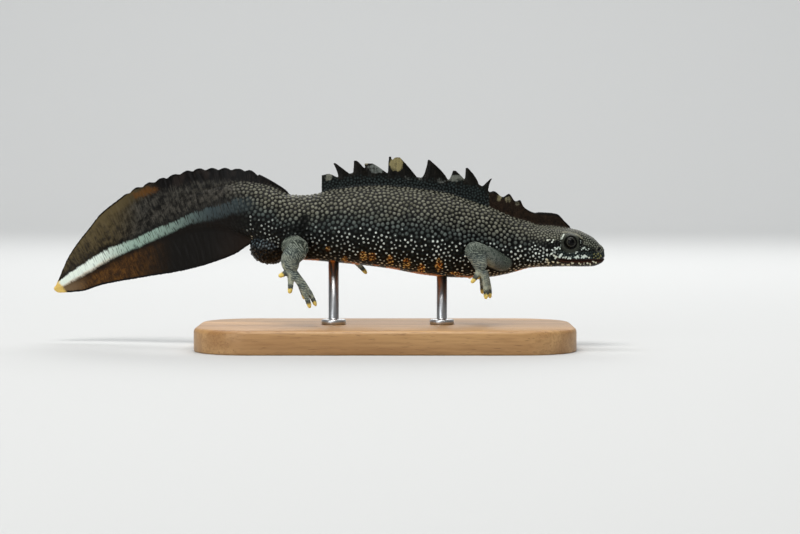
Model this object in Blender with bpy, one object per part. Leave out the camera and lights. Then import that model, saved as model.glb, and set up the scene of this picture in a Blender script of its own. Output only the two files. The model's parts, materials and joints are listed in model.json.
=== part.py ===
"""A great crested newt, an adult male in breeding dress, swimming, on a plain display stand.

Sizes are in millimetres and are turned into metres where a mesh is made. The head points to +X,
the right side to -Y and the back to +Z. The origin is on the floor, under the middle of the model.
Each (x, size) table below gives a line along the body, from the snout to the tip of the tail.
"""
from math import cos, exp, log, pi, sin

import bmesh
import bpy
from mathutils import Vector

for left_over in list(bpy.data.objects):
    bpy.data.objects.remove(left_over, do_unlink=True)

MM = 0.001

# Driving sizes
SNOUT_X = 58.44
TAIL_TIP_X = -60.6
GAP = 0.3
TRUNK_SIDES = 24
# The tables count from the middle of the animal, and the origin is the middle of the whole box
ORIGIN_SHIFT = -(SNOUT_X + TAIL_TIP_X) / 2

# Trunk and the muscle of the tail
BACK = (
    (44, 26.1), (42.6, 26.6), (38.8, 27.8), (34.7, 29.6), (30, 31.2), (23.6, 33.1), (15, 34.1),
    (10.8, 34.35), (2.3, 33.7), (-5.5, 32.3), (-8.5, 32.5), (-12.8, 34.3), (-18.9, 35),
    (-27.7, 33.5), (-36.7, 29.8), (-45.8, 23.7), (-52.6, 18.6), (-57, 15.3), (TAIL_TIP_X, 12.2),
)
BELLY = (
    (44, 17.3), (42.6, 17.1), (40.2, 16.4), (37.6, 15.7), (34, 15.1), (29.1, 14.95), (25.5, 15.05),
    (20.6, 15.5), (12.8, 16.9), (5.5, 17.8), (-3.3, 18.6), (-6.2, 18.8), (-8.3, 19.3), (-13, 21.6),
    (-16.6, 23.2), (-23.4, 25.3), (-27.7, 25.1), (-32.2, 23.8), (-44.9, 18.5), (-51.2, 15.2),
    (-56, 13), (TAIL_TIP_X, 11.4),
)
HALF_WIDTH = (
    (44, 5.3), (42.6, 5), (38.8, 4.9), (36.3, 5.4), (33, 6.2), (28, 7.1), (20, 7.7), (12, 7.6),
    (5, 7.1), (0, 6.3), (-4, 5.6), (-7.5, 5.4), (-11, 4.9), (-16.5, 3.7), (-22, 2.9), (-27.7, 2.4),
    (-39, 1.65), (-50.4, 1.1), (-57, 0.7), (TAIL_TIP_X, 0.35),
)
SEAT = ((44, 0.8), (-8, 0.8), (-20, 0.65), (-40, 0.5), (TAIL_TIP_X, 0.28))
WIDEST = ((44, 0.46), (10, 0.44), (-14, 0.5), (TAIL_TIP_X, 0.5))
TRUNK_NODES = (
    ("neck", 42.45), ("torso_front", 36.6), ("torso_middle", 21.3), ("torso_rear", 8.3),
    ("pelvis", -3.5), ("tail_base", -13.8), ("tail_middle", -27.5), ("tail_tip", -43),
)
STATION_STEP = 2.1
CUTTER_REAR_X = -30

# How far the tip of the tail swings to the animal's left, and where the swing begins
SWING_START_X = -12
TAIL_SWING = 14

# Head
HEAD_REAR_X = 42.6
HEAD_TOP = (
    (42.6, 26.6), (44.4, 26), (47.7, 25.8), (50.2, 25.45), (52.6, 25.1), (54.2, 24.45), (56, 23.5),
    (57.5, 22), (58.2, 21.4), (SNOUT_X, 20.9),
)
HEAD_BOTTOM = (
    (42.6, 17.1), (44.4, 17.35), (50, 17.45), (54, 17.4), (55.7, 17.4), (56.8, 17.65), (57.6, 18),
    (58.1, 18.35), (SNOUT_X, 18.8),
)
HEAD_HALF_WIDTH = (
    (42.6, 5), (44, 5.5), (46, 5.85), (48, 5.7), (50, 5.2), (52, 4.65), (54, 4.1), (56, 3.3),
    (57.5, 2.3), (58.2, 1.45), (SNOUT_X, 0.8),
)
MOUTH = (
    (42.6, 21.4), (45.5, 20.3), (48.2, 19.2), (50, 18.8), (54, 18.7), (57.5, 18.75),
    (58.1, 18.85), (SNOUT_X, 19.15),
)
MOUTH_DEPTH = ((42.6, 0), (48, 0), (48.8, 0.35), (57.5, 0.35), (SNOUT_X, 0.15))
HEAD_STATIONS = (
    42.6, 44.2, 45.8, 47, 48, 48.8, 49.8, 50.8, 51.8, 52.8, 53.9, 55, 56, 56.8, 57.5, 58, 58.27,
    SNOUT_X,
)
# The flat along the crown is this wide, or this share of the head's half width where that is less
CROWN_FLAT = 0.8
CROWN_FLAT_SHARE = 0.35
LIP_HALF_GAP = 0.12
JAW_INSET = 0.05
CROWN_POINTS = 9
JAW_POINTS = 5
HEAD_BOXY = 0.82
JAW_BOXY = 0.62

# Eyes, lids and nostrils
EYE = (51, 3.75, 22.5)
EYE_RADIUS = 1.5
EYE_SEGMENTS = 18
EYE_RINGS = 10
EYE_AXIS = (0.05, 1, 0.12)
EYE_MOUND = 0.22
EYE_MOUND_SPREAD = 1.5
LID_RADIUS = 1.72
LID_CORNER = 0.25
LID_THICKNESS = 0.4
# A lid's thickness at the corners of the eye, what it gains towards its middle, and the upper lid's extra
LID_SHARES = (0.7, 0.3, 0.2)
LID_OUT = 0.5
LID_STEPS = 20
LID_SIDES = 6
NOSTRIL = (57.55, 1.85, 20.9)
NOSTRIL_RADIUS = 0.34
NOSTRIL_SEGMENTS = 8
NOSTRIL_RINGS = 6

# Crest of the back: its valleys, then each tooth as rear root, front root, rear tip, front tip, height
CREST_HALF_THICKNESS = (0.6, 0.5, 0.36)
TOOTH_HALF_THICKNESS = (0.36, 0.18)
TOOTH_EDGE_SHARE = 0.5
# How strongly the rear and the front edge of a tooth curve, 1 being straight
TOOTH_CURVES = (0.75, 0.9)
CREST_VALLEYS = (
    (-1.5, 36.7), (0, 37), (2.3, 36.2), (5.1, 37.2), (8.1, 36.8), (12.7, 36.7), (18.7, 36.3),
    (25, 35.8), (28.9, 35.5), (31.7, 34.8), (33.95, 33.4),
)
CREST_SPLIT_X = 18.8
CREST_STEP = 1.6
TOOTH_SINK = 1
# Each ring of a tooth: how far it is sunk, then how far up the tooth it lies
TOOTH_RINGS = ((1, 0), (0.1, 0), (0, 0.2), (0, 0.45), (0, 0.72), (0, 1))
CREST_TEETH = (
    (2, 5.4, 0.9, 1.2, 39.3), (5, 8.3, 5.3, 5.7, 39.8), (8, 12.8, 7.5, 9.4, 39.2),
    (12.5, 18.7, 12.6, 15.2, 40.7), (18.95, 25.2, 21.1, 21.5, 40), (25, 29, 26.4, 26.7, 37.7),
    (28.8, 31.8, 29, 29.4, 38.3), (31.6, 33.9, 34.4, 34.8, 36),
)
NECK_CREST = (
    (34.25, 33.3), (35, 33.35), (36.9, 32.1), (38.25, 32.8), (39.6, 31.2), (40.6, 31.5),
    (41.6, 30), (44, 28.9), (46.4, 28.8), (48.4, 28.5), (50.2, 26.8), (51.3, 25.95),
)
NECK_CREST_FILL = (37.4, 43, 45.2, 49.3)

# Fins of the tail
FIN_HALF_THICKNESS = (0.65, 0.42, 0.27)
FIN_STEP = 1.6
FIN_TIP_STEP = 1.4
UPPER_FIN = (
    (-8.8, 33.3), (-10.4, 34.5), (-14.5, 36.8), (-17.5, 38), (-22.9, 38.3), (-27.5, 38.2),
    (-33.6, 36.9), (-40.6, 34.6), (-43.3, 33.4), (-46.1, 31.4), (-50.4, 28), (-52.5, 25.4),
    (-55.3, 22), (-57.6, 18.5), (-59.6, 13.9),
)
UPPER_FIN_ENDS = (-8.9, -59.6)
SCALLOP_ENDS = (-15, -44.8)
SCALLOP_LENGTH = 2.85
SCALLOP_DEPTH = 0.45
LOWER_FIN = (
    (-17.1, 21.8), (-19.8, 20), (-23.5, 18.5), (-27.4, 17.2), (-32.2, 16), (-40.1, 14.6),
    (-49.6, 12.8), (-55, 11.2), (-59.6, 10.9),
)
LOWER_FIN_ENDS = (-17.05, -59.5)

# Swelling round the vent
VENT = (-12.5, 0, 21.2)
VENT_RADII = (4.2, 3.7, 3.4)
VENT_SEGMENTS = 20
VENT_RINGS = 14

# Legs: places of the joints, radii, and each digit as root, tip and radius, for the right side
LIMB_SIDES = 12
LIMB_CAP_ANGLES = (20, 50, 80)
LIMB_MIDDLE_SHARES = (0.33, 0.67)
FOOT_FLATNESS = 0.72
DIGIT_SIDES = 7
DIGIT_BOW = 0.05
DIGIT_SWELLS = ((0, 1.1), (0.25, 1), (0.5, 0.9), (0.75, 0.85), (0.93, 0.72), (1, 0.35))
FRONT_LEG = ((35.6, -4.6, 18.7), (30.4, -9, 21.4), (31.7, -9.3, 18.8), (32.1, -9.1, 17))
FRONT_RADII = (1.75, 2, 1.6, 1.4, 1.45)
FRONT_DIGITS = (
    ((31.2, -9.5, 16.8), (29.9, -9.9, 14.3), 0.56), ((32.5, -9.5, 16.6), (32.95, -9.9, 10.9), 0.66),
    ((32.9, -8.8, 16.7), (33.9, -8.2, 11), 0.58), ((31.6, -8.5, 16.6), (31.2, -7.6, 15), 0.52),
)
HIND_LEG = ((-7.6, -3.5, 21.6), (-6, -8.8, 21.5), (-7.7, -9.1, 19.2), (-7.4, -8.9, 16.6))
HIND_RADII = (2.3, 2.25, 2, 1.8, 1.8)
HIND_DIGITS = (
    ((-8.5, -9.3, 17), (-10.2, -9.9, 15.7), 0.6), ((-8, -9.6, 16.4), (-7.9, -10.3, 12.1), 0.64),
    ((-6.9, -9.4, 16), (-3.6, -10.1, 9), 0.64), ((-6.5, -8.8, 16), (-2.4, -8.9, 9.4), 0.62),
    ((-7, -8.2, 16.2), (-4.9, -7.4, 10.7), 0.55),
)
# The left hind leg reaches forward
HIND_LEG_LEFT = ((-7.6, 3.5, 21.6), (-2.6, 9, 21.7), (0.2, 9.7, 20.8), (2.9, 9.7, 19.9))
HIND_DIGITS_LEFT = (
    ((2.6, 9.2, 19.2), (3.6, 8.3, 17.6), 0.58), ((3.5, 9.5, 19.2), (7.9, 9.2, 15.3), 0.62),
    ((4, 9.8, 19.6), (10.4, 10.1, 17.9), 0.64), ((4, 10.1, 20), (10.9, 11.2, 19.9), 0.62),
    ((3.4, 10.3, 20.4), (8.6, 12.3, 21.6), 0.56),
)

# Display stand: a wooden base and two rods
BASE_CENTRE_X = 12
BASE_HALF_LENGTH = 40
BASE_HALF_WIDTH = 20
BASE_CORNER = 12
BASE_HEIGHT = 5
BASE_BEVEL = 0.8
BASE_LOWER_BEVEL = 0.3
BASE_CORNER_STEPS = 6
ROD_RADIUS = 1.1
ROD_FOOT_RADIUS = 2.6
ROD_FOOT_HEIGHT = 0.8
ROD_FOOT_BEVEL = 0.25
ROD_SINK = 2
ROD_SIDES = 16
ROD_PLACES = (("stand_rod_front", 24), ("stand_rod_rear", 1))

# Colours as red, green, blue, then roughness and metal
SLATE = ((0.03, 0.031, 0.033), 0.55, 0)
BLACK = ((0.012, 0.012, 0.014), 0.5, 0)
BROWN_FIN = ((0.035, 0.025, 0.018), 0.45, 0)
LEG_GREY = ((0.075, 0.085, 0.09), 0.5, 0)
EYE_DARK = ((0.01, 0.009, 0.008), 0.1, 0)
OAK = ((0.45, 0.29, 0.15), 0.5, 0)
STEEL = ((0.6, 0.6, 0.61), 0.25, 1)


def line_through(table):
    """A smooth line through the (x, size) points that rises and falls only where they do."""
    points = sorted(table)
    xs = [p[0] for p in points]
    ys = [p[1] for p in points]
    last = len(xs) - 1
    steps = [xs[i + 1] - xs[i] for i in range(last)]
    rises = [(ys[i + 1] - ys[i]) / steps[i] for i in range(last)]
    slopes = [rises[0]]
    for i in range(1, last):
        turns = rises[i - 1] * rises[i] <= 0
        slopes.append(0 if turns else 2 * rises[i - 1] * rises[i] / (rises[i - 1] + rises[i]))
    slopes.append(rises[-1])

    def at(x):
        x = min(max(x, xs[0]), xs[-1])
        i = 0
        while i < last - 1 and x > xs[i + 1]:
            i += 1
        t = (x - xs[i]) / steps[i]
        rise = ys[i + 1] - ys[i]
        bend = slopes[i] * steps[i] * t * (1 - t) ** 2 - slopes[i + 1] * steps[i] * t * t * (1 - t)
        return ys[i] + rise * t * t * (3 - 2 * t) + bend

    return at


def straight_line(table):
    """A line of straight stretches through the (x, size) points."""
    points = sorted(table)

    def at(x):
        for (x0, y0), (x1, y1) in zip(points, points[1:]):
            if x <= x1:
                return y0 + (y1 - y0) * (x - x0) / (x1 - x0)
        return points[-1][1]

    return at


def spaced(start, end, step):
    """Even places from start to end, both included, about one step apart."""
    count = max(1, round(abs(end - start) / step))
    return [start + (end - start) * i / count for i in range(count + 1)]


back = line_through(BACK)
belly = line_through(BELLY)
half_width = line_through(HALF_WIDTH)
seat = line_through(SEAT)
widest = line_through(WIDEST)
head_top = line_through(HEAD_TOP)
head_bottom = line_through(HEAD_BOTTOM)
head_half_width = line_through(HEAD_HALF_WIDTH)
mouth = line_through(MOUTH)
mouth_depth = straight_line(MOUTH_DEPTH)


def swing(x):
    """How far the middle of the body lies to the animal's left at x."""
    share = max(0, SWING_START_X - x) / (SWING_START_X - TAIL_TIP_X)
    return TAIL_SWING * share * share * (3 - 2 * share)


def signed_power(value, power):
    return abs(value) ** power * (1 if value >= 0 else -1)


def mesh_object(name, points, faces):
    """A new object from points in millimetres and faces as index lists."""
    mesh = bpy.data.meshes.new(name)
    mesh.from_pydata([((x + ORIGIN_SHIFT) * MM, y * MM, z * MM) for x, y, z in points], [], faces)
    made = bpy.data.objects.new(name, mesh)
    bpy.context.scene.collection.objects.link(made)
    turn_out(mesh)
    return made


def turn_out(mesh):
    """Turns every face of a closed mesh outwards."""
    shape = bmesh.new()
    shape.from_mesh(mesh)
    bmesh.ops.recalc_face_normals(shape, faces=shape.faces)
    shape.to_mesh(mesh)
    shape.free()


def loft(name, rings):
    """A closed skin through rings of equal count, with its two ends capped.

    The quads of the first and second half of a ring are split alike, so that a thin piece whose
    ring runs up one face and down the other has the same triangles on both faces.
    """
    count = len(rings[0])
    points = [p for ring in rings for p in ring]
    faces = [list(range(count)), list(range((len(rings) - 1) * count, len(rings) * count))]
    for k in range(len(rings) - 1):
        for i in range(count):
            here, there = k * count, (k + 1) * count
            j = (i + 1) % count
            if i < count // 2:
                faces.append([here + i, here + j, there + j])
                faces.append([here + i, there + j, there + i])
            else:
                faces.append([here + i, here + j, there + i])
                faces.append([here + j, there + j, there + i])
    return mesh_object(name, points, faces)


def keep_largest(mesh):
    """Deletes every closed surface of the mesh but the one with the most faces."""
    shape = bmesh.new()
    shape.from_mesh(mesh)
    unseen = set(shape.faces)
    islands = []
    while unseen:
        island = set()
        front = [unseen.pop()]
        while front:
            face = front.pop()
            island.add(face)
            for edge in face.edges:
                for other in edge.link_faces:
                    if other in unseen:
                        unseen.remove(other)
                        front.append(other)
        islands.append(island)
    islands.sort(key=len)
    for island in islands[:-1]:
        bmesh.ops.delete(shape, geom=list(island), context="FACES")
    shape.to_mesh(mesh)
    shape.free()


def combine(piece, operation, others):
    """Unites the piece with the others or cuts them from it, in one Boolean, and removes them."""
    group = bpy.data.collections.new("pieces of " + piece.name)
    for other in others:
        group.objects.link(other)
    step = piece.modifiers.new("combine", "BOOLEAN")
    step.operation = operation
    step.operand_type = "COLLECTION"
    step.collection = group
    step.solver = "EXACT"
    bpy.context.view_layer.update()
    result = bpy.data.meshes.new_from_object(piece.evaluated_get(bpy.context.evaluated_depsgraph_get()))
    piece.modifiers.clear()
    piece.data = result
    keep_largest(result)
    for other in list(group.objects):
        bpy.data.objects.remove(other, do_unlink=True)
    bpy.data.collections.remove(group)
    return piece


def finish(piece, look, sharp_above=50):
    """Gives the piece its own material and smooth shading with crisp edges."""
    colour, roughness, metal = look
    material = bpy.data.materials.new(piece.name)
    material.use_nodes = True
    shader = material.node_tree.nodes["Principled BSDF"]
    shader.inputs["Base Color"].default_value = (*colour, 1)
    shader.inputs["Roughness"].default_value = roughness
    shader.inputs["Metallic"].default_value = metal
    piece.data.materials.clear()
    piece.data.materials.append(material)
    piece.data.shade_smooth()
    piece.data.set_sharp_from_angle(angle=sharp_above * pi / 180)
    return piece


def trunk_ring(x, grow=0):
    """The body's cross-section at x: an ellipse with a small flat along the back and the belly."""
    top, bottom, half = back(x) + grow, belly(x) - grow, half_width(x) + grow
    middle = bottom + (top - bottom) * widest(x)
    half_step = pi / TRUNK_SIDES
    power = log((seat(x) + grow / 2) / half) / log(sin(half_step))
    ring = []
    for i in range(TRUNK_SIDES):
        angle = 2 * half_step * (i + 0.5)
        height = top - middle if cos(angle) > 0 else middle - bottom
        out = half * signed_power(sin(angle), power)
        ring.append((x, swing(x) - out, middle + height * cos(angle) / cos(half_step)))
    return ring


def trunk_piece(name, front, rear, grow=0):
    """The stretch of trunk or tail muscle between two places along the body."""
    return loft(name, [trunk_ring(x, grow) for x in spaced(front, rear, STATION_STEP)])


def trunk_cutter():
    """The whole trunk, larger by the gap, to cut what grows from it."""
    cutter = trunk_piece("trunk_cutter", BACK[0][0], CUTTER_REAR_X, GAP)
    cutter.hide_render = True
    cutter.display_type = "WIRE"
    return cutter


def head_ring(x):
    """The head's cross-section: crown, upper lip, groove of the mouth, lower lip and throat."""
    top, bottom, half, lip = head_top(x), head_bottom(x), head_half_width(x), mouth(x)
    flat = min(CROWN_FLAT, half * CROWN_FLAT_SHARE)
    start = (flat / half) ** (1 / HEAD_BOXY)
    crown = []
    for i in range(CROWN_POINTS):
        angle = start + (pi / 2 - start) * i / (CROWN_POINTS - 1)
        out = half * sin(angle) ** HEAD_BOXY
        rise = (cos(angle) / cos(start)) ** HEAD_BOXY if i < CROWN_POINTS - 1 else 0
        z = lip + LIP_HALF_GAP + (top - lip - LIP_HALF_GAP) * rise
        away = (x - EYE[0]) ** 2 + (z - EYE[2]) ** 2
        out += EYE_MOUND * exp(-away / (2 * EYE_MOUND_SPREAD ** 2))
        crown.append((out, z))
    groove = [(half - mouth_depth(x), lip)]
    throat = []
    for i in range(JAW_POINTS):
        angle = pi / 2 * i / (JAW_POINTS - 0.5)
        out = (half - JAW_INSET) * cos(angle) ** JAW_BOXY
        fall = sin(angle) ** JAW_BOXY if i else 0
        throat.append((out, lip - LIP_HALF_GAP - (lip - LIP_HALF_GAP - bottom) * fall))
    side = crown + groove + throat
    return [(x, -out, z) for out, z in side] + [(x, out, z) for out, z in reversed(side)]


def ball(name, centre, radii, segments, rings):
    """An ellipsoid of the given radii."""
    shape = bmesh.new()
    bmesh.ops.create_uvsphere(shape, u_segments=segments, v_segments=rings, radius=1)
    points = [tuple(v.co[k] * radii[k] + centre[k] for k in range(3)) for v in shape.verts]
    faces = [[v.index for v in f.verts] for f in shape.faces]
    shape.free()
    return mesh_object(name, points, faces)


def lid_ring(side):
    """The raised rim of the two lids round one eye, square to the way that the eye looks."""
    outward = Vector((EYE_AXIS[0], side * EYE_AXIS[1], EYE_AXIS[2])).normalized()
    across = Vector((0, 0, 1)).cross(outward).normalized()
    upward = outward.cross(across)
    centre = Vector((EYE[0], side * EYE[1], EYE[2])) + outward * LID_OUT
    points = []
    faces = []
    for i in range(LID_STEPS):
        turn = 2 * pi * i / LID_STEPS
        spoke = across * cos(turn) + upward * sin(turn)
        low, high, brow = LID_SHARES
        thick = LID_THICKNESS * (low + high * abs(sin(turn)) + brow * max(0, sin(turn)))
        wide = LID_RADIUS + LID_CORNER * abs(cos(turn)) ** 3
        for j in range(LID_SIDES):
            angle = 2 * pi * (j + 0.5) / LID_SIDES
            reach = wide + thick * cos(angle)
            points.append(tuple(centre + spoke * reach + outward * thick * sin(angle)))
            a, b = i * LID_SIDES + j, i * LID_SIDES + (j + 1) % LID_SIDES
            ahead = LID_SIDES if i < LID_STEPS - 1 else -(LID_STEPS - 1) * LID_SIDES
            faces.append([a, b, b + ahead, a + ahead])
    return mesh_object("lid", points, faces)


def make_head():
    head = loft("head", [head_ring(x) for x in HEAD_STATIONS])
    combine(head, "UNION", [lid_ring(-1), lid_ring(1)])
    hollows = []
    for side in (-1, 1):
        socket = EYE_RADIUS + GAP
        place = (EYE[0], side * EYE[1], EYE[2])
        hollows.append(ball("socket", place, [socket] * 3, EYE_SEGMENTS, EYE_RINGS))
        place = (NOSTRIL[0], side * NOSTRIL[1], NOSTRIL[2])
        radii = [NOSTRIL_RADIUS] * 3
        hollows.append(ball("nostril", place, radii, NOSTRIL_SEGMENTS, NOSTRIL_RINGS))
    for hollow in hollows:
        hollow.hide_render = True
        hollow.display_type = "WIRE"
    combine(head, "DIFFERENCE", hollows)
    finish(head, SLATE)
    for name, side in (("eye_right", -1), ("eye_left", 1)):
        place = (EYE[0], side * EYE[1], EYE[2])
        finish(ball(name, place, [EYE_RADIUS] * 3, EYE_SEGMENTS, EYE_RINGS), EYE_DARK)


def make_trunk():
    cuts = [x for _, x in TRUNK_NODES] + [TAIL_TIP_X]
    for i, (name, x) in enumerate(TRUNK_NODES):
        rear = cuts[i + 1] + GAP / 2 if i + 1 < len(TRUNK_NODES) else TAIL_TIP_X
        finish(trunk_piece(name, x - GAP / 2, rear), SLATE)


def make_vent():
    vent = ball("vent", VENT, VENT_RADII, VENT_SEGMENTS, VENT_RINGS)
    combine(vent, "DIFFERENCE", [trunk_cutter()])
    finish(vent, BLACK)


def strip(name, places, foot, edge, halves):
    """A thin upright fin: its foot and its edge as lines along the body, and three half widths."""
    root_half, middle_half, edge_half = halves
    rings = []
    for x in places:
        low, high = foot(x), edge(x)
        root = min(root_half, seat(x))
        heights = (low, low + (high - low) * 0.5, high)
        outs = (root, min(middle_half, root), min(edge_half, root))
        side = list(zip(outs, heights))
        ring = [(x, swing(x) - out, z) for out, z in side]
        rings.append(ring + [(x, swing(x) + out, z) for out, z in reversed(side)])
    return loft(name, rings)


def tooth(valley, rear, front, tip_rear, tip_front, height):
    """One tooth of the crest, a thin flat horn sunk in the crest, whose edges curve into its tip."""
    hind_curve, fore_curve = TOOTH_CURVES
    foot_half, tip_half = TOOTH_HALF_THICKNESS
    rings = []
    for sunk, share in TOOTH_RINGS:
        z = valley - TOOTH_SINK * sunk + (height - valley) * share
        hind = rear + (tip_rear - rear) * share ** hind_curve
        fore = front + (tip_front - front) * share ** fore_curve
        half = foot_half + (tip_half - foot_half) * share
        edge_half = half * TOOTH_EDGE_SHARE
        side = [(hind, edge_half), ((hind + fore) / 2, half), (fore, edge_half)]
        rings.append([(x, -out, z) for x, out in side] + [(x, out, z) for x, out in reversed(side)])
    return loft("tooth", rings)


def above(line):
    """The line of a body surface, raised by the gap."""
    return lambda x: line(x) + GAP


def make_crest():
    valleys = line_through(CREST_VALLEYS)
    spans = (
        ("crest_rear", CREST_VALLEYS[0][0], CREST_SPLIT_X - GAP / 2),
        ("crest_front", CREST_SPLIT_X + GAP / 2, CREST_VALLEYS[-1][0]),
    )
    for name, rear, front in spans:
        places = spaced(rear, front, CREST_STEP)
        base = strip(name, places, above(back), valleys, CREST_HALF_THICKNESS)
        teeth = []
        for row in CREST_TEETH:
            if rear < (row[0] + row[1]) / 2 < front:
                teeth.append(tooth(min(valleys(row[0]), valleys(row[1])), *row))
        combine(base, "UNION", teeth)
        finish(base, BLACK)

    def nape(x):
        return head_top(x) if x > HEAD_REAR_X else back(x)

    places = sorted({x for x, _ in NECK_CREST} | set(NECK_CREST_FILL))
    edge = straight_line(NECK_CREST)
    finish(strip("crest_neck", places, above(nape), edge, CREST_HALF_THICKNESS), BROWN_FIN)


def make_fins():
    upper_edge = line_through(UPPER_FIN)
    lower_edge = line_through(LOWER_FIN)
    front, rear = SCALLOP_ENDS

    def scalloped(x):
        if not rear < x < front:
            return upper_edge(x)
        phase = (front - x) / SCALLOP_LENGTH
        return upper_edge(x) - SCALLOP_DEPTH * (1 - abs(sin(pi * phase)))

    start, end = UPPER_FIN_ENDS
    places = spaced(start, front, FIN_STEP) + spaced(front, rear, SCALLOP_LENGTH / 4)[1:]
    places += spaced(rear, end, FIN_TIP_STEP)[1:]
    upper = strip("tail_fin_upper", places, above(back), scalloped, FIN_HALF_THICKNESS)
    finish(upper, BROWN_FIN)

    def under_tail(x):
        return belly(x) - GAP

    start, end = LOWER_FIN_ENDS
    places = spaced(start, end, FIN_STEP)
    lower = strip("tail_fin_lower", places, under_tail, lower_edge, FIN_HALF_THICKNESS)
    finish(lower, BROWN_FIN)


def limb_part(name, start, end, start_radius, end_radius, sides, flat=1, grow=0):
    """A tapered length of limb with rounded ends, narrower across than along the body by flat."""
    a, b = Vector(start), Vector(end)
    along = (b - a).normalized()
    reference = Vector((0, 1, 0)) if abs(along.y) < 0.85 else Vector((1, 0, 0))
    wide = along.cross(reference).normalized()
    deep = along.cross(wide).normalized()
    stops = [(a, start_radius, -angle) for angle in reversed(LIMB_CAP_ANGLES)]
    for share in LIMB_MIDDLE_SHARES:
        stops.append((a.lerp(b, share), start_radius + (end_radius - start_radius) * share, 0))
    stops += [(b, end_radius, angle) for angle in LIMB_CAP_ANGLES]
    rings = []
    for centre, radius, angle in stops:
        radius += grow
        lean = angle * pi / 180
        middle = centre + along * radius * sin(lean)
        ring = []
        for i in range(sides):
            turn = 2 * pi * i / sides
            reach = radius * cos(lean)
            ring.append(middle + wide * reach * cos(turn) + deep * reach * flat * sin(turn))
        rings.append([tuple(p) for p in ring])
    return loft(name, rings)


def digit(root, tip, radius):
    """A finger or toe, thick at its root, slightly knuckled, with a blunt tip."""
    a, b = Vector(root), Vector(tip)
    along = (b - a).normalized()
    wide = along.cross(Vector((0, 1, 0))).normalized()
    deep = along.cross(wide).normalized()
    bow = wide * (b - a).length * DIGIT_BOW
    rings = []
    for share, swell in DIGIT_SWELLS:
        middle = a.lerp(b, share) + bow * 4 * share * (1 - share)
        ring = []
        for i in range(DIGIT_SIDES):
            turn = 2 * pi * i / DIGIT_SIDES
            ring.append(tuple(middle + (wide * cos(turn) + deep * sin(turn)) * radius * swell))
        rings.append(ring)
    return loft("digit", rings)


def make_leg(names, joints, radii, digits):
    """Upper part, lower part and foot of one leg, each cut clear of what it meets.

    The radii are those of the upper part, the two ends of the lower part and the foot's two ends.
    """
    upper_name, lower_name, foot_name = names
    body_end, bend, ankle, sole = joints
    upper = limb_part(upper_name, body_end, bend, radii[0], radii[0], LIMB_SIDES)
    lower_shape = (bend, ankle, radii[1], radii[2], LIMB_SIDES)
    lower = limb_part(lower_name, *lower_shape)
    cutters = [trunk_cutter(), limb_part("lower_cutter", *lower_shape, grow=GAP)]
    combine(upper, "DIFFERENCE", cutters)
    combine(lower, "DIFFERENCE", [trunk_cutter()])
    foot = limb_part(foot_name, ankle, sole, radii[3], radii[4], LIMB_SIDES, flat=FOOT_FLATNESS)
    combine(foot, "UNION", [digit(*row) for row in digits])
    combine(foot, "DIFFERENCE", [limb_part("lower_cutter", *lower_shape, grow=GAP)])
    for piece in (upper, lower, foot):
        finish(piece, LEG_GREY)


def mirrored(point):
    return (point[0], -point[1], point[2])


def make_legs():
    left_front = [mirrored(p) for p in FRONT_LEG]
    left_fingers = [(mirrored(a), mirrored(b), radius) for a, b, radius in FRONT_DIGITS]
    front = ("upper_arm_", "forearm_", "front_foot_")
    hind = ("thigh_", "shank_", "hind_foot_")
    make_leg([n + "right" for n in front], FRONT_LEG, FRONT_RADII, FRONT_DIGITS)
    make_leg([n + "left" for n in front], left_front, FRONT_RADII, left_fingers)
    make_leg([n + "right" for n in hind], HIND_LEG, HIND_RADII, HIND_DIGITS)
    make_leg([n + "left" for n in hind], HIND_LEG_LEFT, HIND_RADII, HIND_DIGITS_LEFT)


def plate_ring(z, inset):
    """The outline of the base at one height, a rectangle with round corners."""
    ring = []
    for corner in range(4):
        sign_x = 1 if corner in (0, 3) else -1
        sign_y = 1 if corner in (0, 1) else -1
        x = BASE_CENTRE_X + sign_x * (BASE_HALF_LENGTH - BASE_CORNER)
        y = sign_y * (BASE_HALF_WIDTH - BASE_CORNER)
        for i in range(BASE_CORNER_STEPS + 1):
            angle = (corner + i / BASE_CORNER_STEPS) * pi / 2
            reach = BASE_CORNER - inset
            ring.append((x + reach * cos(angle), y + reach * sin(angle), z))
    return ring


def make_stand():
    levels = (
        (0, BASE_LOWER_BEVEL), (BASE_LOWER_BEVEL, 0), (BASE_HEIGHT - BASE_BEVEL, 0),
        (BASE_HEIGHT, BASE_BEVEL),
    )
    finish(loft("stand_base", [plate_ring(z, inset) for z, inset in levels]), OAK, 25)
    turns = [2 * pi * i / ROD_SIDES for i in range(ROD_SIDES)]
    for name, x in ROD_PLACES:
        floor = BASE_HEIGHT + GAP
        shoulder = floor + ROD_FOOT_HEIGHT
        turned = (
            (ROD_FOOT_RADIUS, floor), (ROD_FOOT_RADIUS, shoulder - ROD_FOOT_BEVEL),
            (ROD_FOOT_RADIUS - ROD_FOOT_BEVEL, shoulder), (ROD_RADIUS, shoulder),
            (ROD_RADIUS, belly(x) + ROD_SINK),
        )
        rings = []
        for radius, z in turned:
            rings.append([(x + radius * cos(a), radius * sin(a), z) for a in turns])
        rod = loft(name, rings)
        combine(rod, "DIFFERENCE", [trunk_cutter()])
        finish(rod, STEEL, 30)


make_head()
make_trunk()
make_vent()
make_crest()
make_fins()
make_legs()
make_stand()
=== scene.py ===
import json
from math import cos, pi, radians, sin

import bmesh
import bpy
import numpy as np
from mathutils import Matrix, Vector, noise
from mathutils.kdtree import KDTree


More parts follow.
